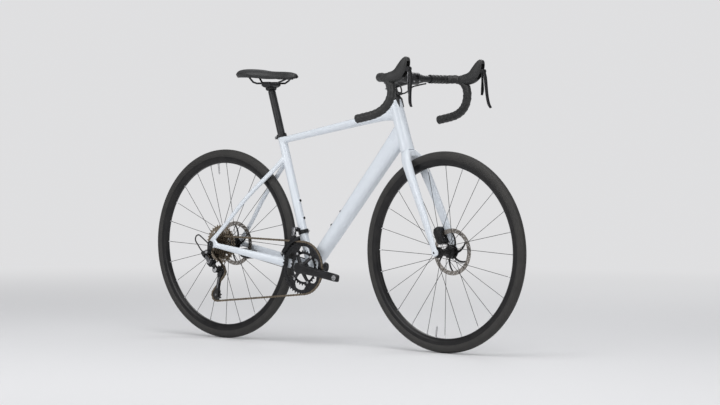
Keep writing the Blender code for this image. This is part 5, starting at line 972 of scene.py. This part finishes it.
# Front derailleur
# A black band clamp with a steel screw at the front of the seat tube, a short steel swing link, and a
# black cage whose outer guide curves over the big ring.
packed("front_band_clamp", "fd_clamp", "frame", 0.0005)
packed("front_swing_link", "fd_link", "fd_link", 0.0006, finish=grey_metal, slot_name="brushed_steel")
swing_top = BB + Vector((-0.0470, -0.0400, 0.1400))
swing_low = swing_top + Vector((0, -0.0035, -0.0248))
RING_TIP = pitch_radius(RING_TEETH) + 0.0026
guide_mesh = bmesh.new()
for left, foot, head in ((0.0525, RING_TIP + 0.0022, RING_TIP + 0.0150),
                         (0.0405, RING_TIP - 0.0090, RING_TIP + 0.0190)):
    slab(guide_mesh, [arc(foot, 98, 159, 5) + arc(head, 155, 99, -5)], left - 0.0007, left + 0.0007, BB)
bridge = [(-0.0574, 0.0960), (-0.0366, 0.1030), (-0.0366, 0.1088), (-0.0574, 0.1050)]
slab(guide_mesh, [bridge], 0.0402, 0.0528, BB)
ear = [(-0.0037, 0.0020), (0.0037, 0.0020), (0.0037, -0.0110), (-0.0037, -0.0110)]
for along in (-0.0099, 0.0073):
    slab(guide_mesh, [ear], along, along + 0.0026, swing_low, -Y_AXIS, -Z_AXIS)
tail_screw = Vector((-0.0940, 0, 0.0500))
rod(guide_mesh, 0.0024, -0.0528, -0.0402, BB + tail_screw, Y_AXIS, 20)
soften(guide_mesh, 0.0004, 40)
place("front_cage", guide_mesh, "fd_cage", ring_black, "black_alloy", "fd_cage")
guide_trim = bmesh.new()
cap_screw(guide_trim, BB + tail_screw - Y_AXIS * 0.0531, -Y_AXIS, 0.0034, 0.0012, 0.5)
turn(guide_trim, [(0, 0.0099), (0.0026, 0.0099), (0.0026, 0.0106), (0, 0.0108)], swing_low, X_AXIS, 20)
fittings_of_steel("front_cage_screws", guide_trim, "fd_cage")
swing_pins = bmesh.new()
turn(swing_pins, [(0, 0.0099), (0.0028, 0.0099), (0.0028, 0.0108), (0, 0.0110)], swing_top, X_AXIS, 20)
fittings_of_steel("swing_pin_head", swing_pins, "frame")
clamp_screw = bmesh.new()
clamp_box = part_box("fd_clamp")
band_screw = on_seat_tube(0.130, 0.0205)
cap_screw(clamp_screw, Vector((clamp_box[1].x - 0.0022, 0.0, band_screw.z)), X_AXIS, 0.0034, 0.0020)
fittings_of_steel("band_clamp_screw", clamp_screw, "frame")

# Stem and spacer
# A forged black stem and a conical spacer above the cover. Four screws hold the faceplate, two pinch the
# steerer, and one in the top cap sets the bearings.
packed("conical_spacer", "steerer_spacer", "steering", 0.0008, 40, finish=black_plastic,
       slot_name="black_plastic")
STEM_CENTRE = 0.2425
STEM_DIP = math.radians(7)
STEM_ALONG = STEER_FRONT * math.cos(STEM_DIP) - STEER_AXIS * math.sin(STEM_DIP)
STEM_UP = STEM_ALONG.cross(-Y_AXIS)
STEM_BASE = on_steerer(STEM_CENTRE)
STEM_LENGTH = 0.100
BAR_CENTRE = STEM_BASE + STEM_ALONG * STEM_LENGTH
stem_black = surface("satin_stem_black", (0.013, 0.013, 0.014), (0.024, 0.024, 0.026), (0.34, 0.46),
                     metallic=0.3, grain=50.0, relief=0.00003)
stem_mesh = bmesh.new()
arm = [(0.0060, 0.0165, 0.0168), (0.0250, 0.0158, 0.0160), (0.045, 0.0150, 0.0150), (0.070, 0.0160, 0.0153),
       (0.0845, 0.0195, 0.0175), (0.0900, 0.0200, 0.0182)]
route = [(*(STEM_BASE + STEM_ALONG * reach), *halves) for reach, *halves in arm]
tube(stem_mesh, flow(route, 5), 32, power=2.6)
turn(stem_mesh, [(0, STEM_CENTRE - 0.0198), (0.0182, STEM_CENTRE - 0.0198), (0.0189, STEM_CENTRE - 0.0170),
                 (0.0189, STEM_CENTRE + 0.0170), (0.0180, STEM_CENTRE + 0.0198), (0, STEM_CENTRE + 0.0198)],
     HEAD_BOTTOM, STEER_AXIS, 48)
drum(stem_mesh, 0.0213, -0.0213, 0.0213, 0.0008, BAR_CENTRE)
stem_piece = place("forged_stem", stem_mesh, "steering", stem_black, "black_alloy", "stem")
welded(stem_piece, 0.0009, 4)
bar_bore = bmesh.new()
rod(bar_bore, 0.0161, -0.04, 0.04, BAR_CENTRE, Y_AXIS, 48)
cut_out(stem_piece, bar_bore)
faceplate_room = bmesh.new()
room = [(0.0008, -0.03), (0.04, -0.03), (0.04, 0.03), (0.0008, 0.03)]
slab(faceplate_room, [room], -0.03, 0.03, BAR_CENTRE, STEM_ALONG, STEM_UP)
cut_out(stem_piece, faceplate_room)
packed("bar_faceplate", "stem_faceplate", "steering", 0.0006, 40, finish=stem_black)
packed("top_cap", "stem_top_cap", "steering", 0.0005, 40, finish=stem_black)
screws = bmesh.new()
cap_top = on_steerer(STEM_CENTRE + 0.020 + 0.0040)
cap_screw(screws, cap_top - STEER_AXIS * 0.0012, STEER_AXIS, 0.0042, 0.0012)
for level in (-1, 1):
    for side in (-1, 1):
        head = BAR_CENTRE + STEM_UP * level * 0.0130 + Y_AXIS * side * 0.0148 + STEM_ALONG * 0.0155
        cap_screw(screws, head, STEM_ALONG, 0.0032, 0.0026)
    cap_screw(screws, on_steerer(STEM_CENTRE + 0.0105 * level, -0.0145, -0.0135),
              Vector((-0.25, -0.95, -0.1)), 0.0030, 0.0020)
fittings_of_steel("stem_screws", screws, "steering")

# Handlebar
# A black aluminium drop bar, 31.8 mm thick at the clamp and drawn down to 23.8 mm beyond it.
bar_corners = [
    (0.0000, 0.0000, 0.0900), (0.0000, 0.0000, 0.1600), (0.0090, 0.0000, 0.1840), (0.0330, 0.0000, 0.1975),
    (0.0570, -0.0080, 0.2005), (0.0720, -0.0260, 0.2015), (0.0765, -0.0490, 0.2035),
    (0.0710, -0.0760, 0.2065), (0.0560, -0.0990, 0.2105), (0.0330, -0.1160, 0.2145),
    (0.0000, -0.1280, 0.2180), (-0.0620, -0.1400, 0.2200),
]
BAR_RADIUS = 0.0119


def at_bar(forward, left, up):
    return BAR_CENTRE + Vector((forward, left, up))


def beside(side, route):
    """Stations on one side of the bar, from rows of forward, up, left and any half sizes."""
    return [(*at_bar(forward, left * side, up), *halves) for forward, up, left, *halves in route]


bar_mesh = bmesh.new()
turn(bar_mesh, [(0, -0.0900), (BAR_RADIUS, -0.0900), (BAR_RADIUS, -0.0600), (0.0156, -0.0380),
                (0.0159, -0.0350), (0.0159, 0.0350), (0.0156, 0.0380), (BAR_RADIUS, 0.0600),
                (BAR_RADIUS, 0.0900), (0, 0.0900)],
     BAR_CENTRE, Y_AXIS, 48)
for side in (-1, 1):
    route = [(*point, BAR_RADIUS, BAR_RADIUS) for point in beside(side, bar_corners)]
    tube(bar_mesh, flow(route, 4), 20, Z_AXIS)
place("drop_bar", bar_mesh, "steering", stem_black, "black_alloy", "handlebar")

# Bar tape
# Padded black tape wound round the bar with each turn over the edge of the last, ended beside the stem
# by a band of smooth tape, and by a push-in plug at each end of the bar.
tape_black = surface("perforated_bar_tape", (0.010, 0.010, 0.010), (0.022, 0.022, 0.022), (0.40, 0.54),
                     grain=60.0, relief=0.00012, relief_grain=700.0)
TAPE_THIN, TAPE_THICK, TAPE_TURN = 0.0138, 0.0156, 0.019


def wound(mesh, points, side):
    """A tube whose radius steps once a turn along a helix, as wound tape does."""
    across = Vector(Z_AXIS)
    rings, run = [], 0.0
    for i, point in enumerate(points):
        along = (points[min(i + 1, len(points) - 1)] - points[max(i - 1, 0)]).normalized()
        across = (across - along * across.dot(along)).normalized()
        up = along.cross(across)
        edges = ring(mesh, point, across, up, 1.0, 1.0, 32)
        for vert in {vert for edge in edges for vert in edge.verts}:
            out = vert.co - point
            lean = math.atan2(out.dot(up), out.dot(across)) / (2 * math.pi)
            share = (run / TAPE_TURN + lean * side) % 1.0
            rise = min(share / 0.10, 1.0) * (1.0 - 0.9 * share)
            vert.co = point + out.normalized() * (TAPE_THIN + (TAPE_THICK - TAPE_THIN) * rise)
        rings.append(edges)
        if i + 1 < len(points):
            run += (points[i + 1] - point).length
    skin(mesh, rings)


for side, name in SIDES:
    fine = [Vector(point) for point in flow(beside(side, bar_corners), 24)]
    spaced, run = [fine[0]], 0.0
    for before, point in zip(fine, fine[1:]):
        run += (point - before).length
        if run >= 0.0016:
            spaced.append(point)
            run = 0.0
    tape = bmesh.new()
    wound(tape, spaced, side)
    place(name + "_wound_tape", tape, "steering", tape_black, "bar_tape", name + "_bar_tape", 50)
    ends = bmesh.new()
    turn(ends, [(0.0119, 0.0895), (0.0149, 0.0895), (0.0151, 0.0900), (0.0151, 0.1010), (0.0149, 0.1016),
                (0.0119, 0.1016)],
         BAR_CENTRE, Y_AXIS * side, 48, closed=True)
    way = (spaced[-1] - spaced[-4]).normalized()
    turn(ends, [(0, -0.0040), (0.0140, -0.0040), (0.0146, -0.0020), (0.0140, -0.0004), (0.0090, -0.0001),
                (0, 0.0)],
         spaced[-1], way, 40)
    place(name + "_tape_band_and_plug", ends, "steering", black_plastic, "black_plastic")

# Hoods
# The lever bodies under soft rubber covers with a fine grain. Each has a raised horn in front and a slot
# for the lever.
hood_rubber = surface("ribbed_hood_rubber", (0.014, 0.014, 0.014), (0.026, 0.026, 0.026), (0.46, 0.60),
                      grain=50.0, relief=0.00014, relief_grain=1100.0)
hood_route = [
    (0.0480, 0.0030, 0.0150, 0.0120), (0.0640, -0.0010, 0.0180, 0.0185), (0.0860, 0.0020, 0.0172, 0.0205),
    (0.1060, 0.0110, 0.0166, 0.0228), (0.1210, 0.0270, 0.0164, 0.0236), (0.1320, 0.0460, 0.0156, 0.0190),
    (0.1385, 0.0600, 0.0122, 0.0128), (0.1405, 0.0668, 0.0080, 0.0070),
]
LEVER_PIVOT = Vector((0.1465, 0.2010, 0.0270))
for side, name in SIDES:
    hood_mesh = bmesh.new()
    route = [(*at_bar(forward, LEVER_PIVOT.y * side, up), *halves) for forward, up, *halves in hood_route]
    tube(hood_mesh, flow(route, 6), 32, power=2.3)
    hood_piece = place(name + "_rubber_hood", hood_mesh, "steering", hood_rubber, "hood_rubber",
                       name + "_hood")
    welded(hood_piece, 0.0012, 5)
    slot_mesh = bmesh.new()
    rod(slot_mesh, 0.0300, -0.0094, 0.0094,
        at_bar(LEVER_PIVOT.x, LEVER_PIVOT.y * side, LEVER_PIVOT.z - 0.0040), Y_AXIS, 64)
    cut_out(hood_piece, slot_mesh)

# Brake levers
# Forged levers in black with a satin sheen, each turning on a round boss in the slot of its hood.
lever_black = surface("lever_black", (0.016, 0.016, 0.017), (0.034, 0.034, 0.036), (0.20, 0.32),
                      metallic=0.7, grain=60.0, relief=0.00002)
lever_route = [
    (0.1480, 0.0330, 0.2010, 0.0072, 0.0048), (0.1560, 0.0080, 0.2015, 0.0073, 0.0046),
    (0.1590, -0.0250, 0.2040, 0.0069, 0.0041), (0.1600, -0.0560, 0.2080, 0.0067, 0.0037),
    (0.1640, -0.0840, 0.2120, 0.0068, 0.0034), (0.1715, -0.0990, 0.2150, 0.0056, 0.0028),
]
for side, name in SIDES:
    lever = bmesh.new()
    tube(lever, flow(beside(side, lever_route), 8), 24, power=2.6)
    drum(lever, 0.0085, -0.0088, 0.0088, 0.0005,
         at_bar(LEVER_PIVOT.x, LEVER_PIVOT.y * side, LEVER_PIVOT.z), Y_AXIS, 32)
    place(name + "_lever_blade", lever, name + "_brake_lever", lever_black, "black_alloy",
          name + "_brake_lever")

# Shift levers
# Small paddles behind the brake levers, grey on the right and black on the left, which swing inwards to
# wind or release the gear cables.
shift_route = [(0.1446, 0.0176, 0.1985, 0.0035, 0.0030), (0.1466, -0.0060, 0.1985, 0.0055, 0.0024),
               (0.1480, -0.0360, 0.1975, 0.0084, 0.0019), (0.1462, -0.0555, 0.1965, 0.0058, 0.0017)]
for side, name in SIDES:
    paddle = bmesh.new()
    tube(paddle, flow(beside(side, shift_route), 8), 20, power=2.4)
    place(name + "_shift_paddle", paddle, name + "_shift_lever", grey_metal if side < 0 else lever_black,
          "black_alloy", name + "_shift_lever")

# Brake pads
# Steel-backed pads that close on the rotors from both sides of each caliper's slot.
for name in ("front_inner", "front_outer", "rear_inner", "rear_outer"):
    packed(name + "_brake_block", name + "_pad", name + "_pad", 0.0003, finish=steel,
           slot_name="brushed_steel")

# Hoses
# Black brake hoses that leave the tape beside the stem and meet in a clip at the front of the spacer, and
# the outer cable that loops behind the dropout to the rear derailleur.
hose_black = surface("hose_black", (0.012, 0.012, 0.012), (0.024, 0.024, 0.024), (0.34, 0.48), grain=90.0,
                     relief=0.00003)
clip_place = on_steerer(HEAD_LENGTH + 0.0170, 0.0252)


def laid_hose(name, points, radius, body, replaced, steps=5):
    """A free hose or cable: one curve through its points."""
    line = bpy.data.curves.new(name, "CURVE")
    line.dimensions = "3D"
    line.bevel_depth = radius
    line.bevel_resolution = 4
    line.use_fill_caps = True
    smooth = flow([tuple(point) for point in points], steps)
    course = line.splines.new("POLY")
    course.points.add(len(smooth) - 1)
    for spot, point in zip(course.points, smooth):
        spot.co = (*point, 1)
    line.materials.append(hose_black)
    piece = bpy.data.objects.new(name, line)
    bpy.context.scene.collection.objects.link(piece)
    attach(piece, body)
    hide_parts(replaced)


for side, name in SIDES:
    laid_hose(name + "_hose", [
        at_bar(-0.0100, 0.0830 * side, -0.0160), at_bar(-0.0120, 0.0680 * side, -0.0182),
        at_bar(-0.0175, 0.0500 * side, -0.0222), clip_place + Vector((0.0335, 0.0330 * side, 0.0240)),
        clip_place + Vector((0.0268, 0.0195 * side, 0.0115)),
        clip_place + Vector((0.0182, 0.0110 * side, 0.0028)),
        clip_place + Vector((0.0064, 0.0078 * side, 0.0002)),
    ], 0.0026, "steering", "handlebar_hoses", 4)
clip = bmesh.new()
block = [(-0.0022, -0.0050), (0.0060, -0.0050), (0.0060, 0.0050), (-0.0022, 0.0050)]
slab(clip, [block], -0.0110, 0.0110, clip_place, STEER_FRONT, STEER_AXIS)
soften(clip, 0.0012, 40, 3)
place("hose_clip", clip, "steering", black_plastic, "black_plastic", "handlebar_hoses")
adjuster_end = OUTER_UPPER_PIVOT + Vector((-0.0220, 0.0030, 0.0130))
heading = (adjuster_end - OUTER_UPPER_PIVOT + LINK_LEVEL * 0.0100).normalized()
cable_exit = REAR_HUB + Vector((-0.0155, -0.07525, 0.0020))
loop_centre = cable_exit + Vector((-0.0445, -0.0060, 0.0145))
loop_top = [loop_centre + outward(math.radians(lean)) * 0.0155 for lean in range(58, 209, 30)]
corner = adjuster_end + heading * 0.0130
falling = (loop_top[-1] - corner).normalized()
laid_hose("gear_cable", [
    cable_exit, cable_exit.lerp(loop_top[0], 0.3), cable_exit.lerp(loop_top[0], 0.65), *loop_top,
    loop_top[-1].lerp(corner, 0.36), corner + falling * 0.0095, corner + (falling - heading) * 0.0020,
    corner - heading * 0.0070, adjuster_end + heading * 0.0014,
], 0.0025, "frame", "rd_housing", 2)

# Seatpost
# A 27.2 mm black aluminium post with a two-bolt head, that slides in the seat tube.
TILT = on_seat_tube(0.667)
post = bmesh.new()
turn(post, [(0, 0.300), (0.0134, 0.300), (0.0136, 0.302), (0.0136, 0.6530), (0.0130, 0.6560),
            (0.0092, 0.6630), (0.0080, 0.6640), (0, 0.6640)], BB, SEAT_AXIS, 48)
drum(post, 0.0105, -0.0188, 0.0188, 0.0007, TILT, Y_AXIS, 40)
place("alloy_seatpost", post, "seatpost", stem_black, "black_alloy", "seatpost")

# Saddle clamp
# A forged cradle that grips both rails from above and below, with a silver screw in front and behind.
cradle = bmesh.new()
dish = [(0.0305 * math.sin(math.radians(lean)), 0.0312 - 0.0302 * math.cos(math.radians(lean)))
        for lean in range(-42, 43, 7)]
slab(cradle, [dish + [(0.0205, 0.0150), (-0.0205, 0.0150)]], -0.0290, 0.0290, TILT)
for side in (-1, 1):
    grip = [(-0.0150, 0.0140), (0.0150, 0.0140), (0.0150, 0.0205), (0.0120, 0.0222), (-0.0120, 0.0222),
            (-0.0150, 0.0205)]
    low, high = sorted((-0.0170 * side, -0.0282 * side))
    slab(cradle, [grip], low, high, TILT)
cradle_bridge = [(-0.0085, 0.0140), (0.0085, 0.0140), (0.0085, 0.0215), (-0.0085, 0.0215)]
slab(cradle, [cradle_bridge], -0.0280, 0.0280, TILT)
cradle_piece = place("rail_cradle", cradle, "saddle_clamp", black_alloy, "black_alloy", "saddle_clamp")
welded(cradle_piece, 0.0007, 3)
cradle_bores = bmesh.new()
rod(cradle_bores, 0.0109, -0.0196, 0.0196, TILT, Y_AXIS, 40)
for side in (-1, 1):
    rod(cradle_bores, 0.0036, -0.05, 0.05, TILT + Vector((0, 0.022 * side, 0.0165)), X_AXIS, 24)
cut_out(cradle_piece, cradle_bores)
cradle_screws = bmesh.new()
for end in (-1, 1):
    cap_screw(cradle_screws, TILT + Vector((0.0150 * end, 0, 0.0148)), Z_AXIS, 0.0036, 0.0030)
fittings_of_steel("cradle_screws", cradle_screws, "saddle_clamp")

# Saddle rails
# One bent rod of dark steel, about 7 mm thick, that runs from the nose along both sides of the clamp to
# the tail.
rail_route = [(0.0900, 0.0045, 0.0345), (0.0870, 0.0085, 0.0340), (0.0700, 0.0165, 0.0250),
              (0.0480, 0.0220, 0.0165), (-0.0500, 0.0220, 0.0165), (-0.0660, 0.0235, 0.0215),
              (-0.0800, 0.0262, 0.0360), (-0.0900, 0.0280, 0.0470)]
rails = bmesh.new()
left_rail = [(*(TILT + Vector(point)), 0.0034, 0.0034) for point in reversed(rail_route)]
right_rail = [(x, -y, z, half_width, half_height) for x, y, z, half_width, half_height in reversed(left_rail)]
tube(rails, left_rail + right_rail, 20, Z_AXIS)
rail_black = surface("dark_rail_steel", (0.03, 0.03, 0.032), (0.06, 0.06, 0.063), (0.22, 0.34),
                     metallic=1.0, grain=80.0, relief=0.00002)
place("bent_rails", rails, "saddle", rail_black, "brushed_steel", "saddle_rails")

# Saddle shell
# The stiff black plastic base under the padding, with sockets that hold the ends of the rails.
packed("saddle_base", "saddle_shell", "saddle", 0.0006, 40, finish=black_plastic, slot_name="black_plastic")

# Saddle padding
# Foam under a stretched matt cover with a faint sheen. It is crowned across, dished along its length and
# narrow at the nose.
SADDLE_TAIL, SADDLE_LENGTH, SADDLE_HALF = -0.128, 0.253, 0.073
saddle_stations = [
    (0.000, 0.0640, 0.575, 0.0230), (0.035, 0.0670, 0.781, 0.0290), (0.120, 0.0690, 0.959, 0.0310),
    (0.255, 0.0675, 1.000, 0.0300), (0.390, 0.0635, 0.822, 0.0280), (0.515, 0.0600, 0.562, 0.0280),
    (0.642, 0.0585, 0.390, 0.0270), (0.776, 0.0575, 0.308, 0.0250), (0.895, 0.0550, 0.267, 0.0220),
    (0.966, 0.0505, 0.205, 0.0150), (0.988, 0.0480, 0.150, 0.0100), (1.000, 0.0440, 0.050, 0.0040),
]
cover_black = surface("saddle_cover_black", (0.012, 0.012, 0.012), (0.024, 0.024, 0.025), (0.40, 0.54),
                      grain=40.0, relief=0.00012, relief_grain=1600.0)
cover = bmesh.new()
loops = []
for share, crown, width, skirt in flow(saddle_stations, 4):
    half = width * SADDLE_HALF
    drop = min(0.0125, skirt * 0.8)
    side = [(0.0, 0.0), (0.30, -0.0006), (0.62, -0.0032), (0.86, -0.0085), (1.00, -0.40 * skirt - 0.006),
            (0.97, -0.75 * skirt), (0.86, -skirt), (0.80, -skirt + 0.0010), (0.76, -drop - 0.003),
            (0.40, -drop)]
    section = flow(side, 3)
    section = section + [(-x, z) for x, z in reversed(section) if x > 0.0001]
    verts = [cover.verts.new(TILT + Vector((SADDLE_TAIL + share * SADDLE_LENGTH, x * half, crown + z)))
             for x, z in section]
    loops.append([cover.edges.new(pair) for pair in zip(verts, verts[1:] + verts[:1])])
skin(cover, loops)
padding_piece = place("padded_cover", cover, "saddle", cover_black, "saddle_cover", "saddle_padding", 60)
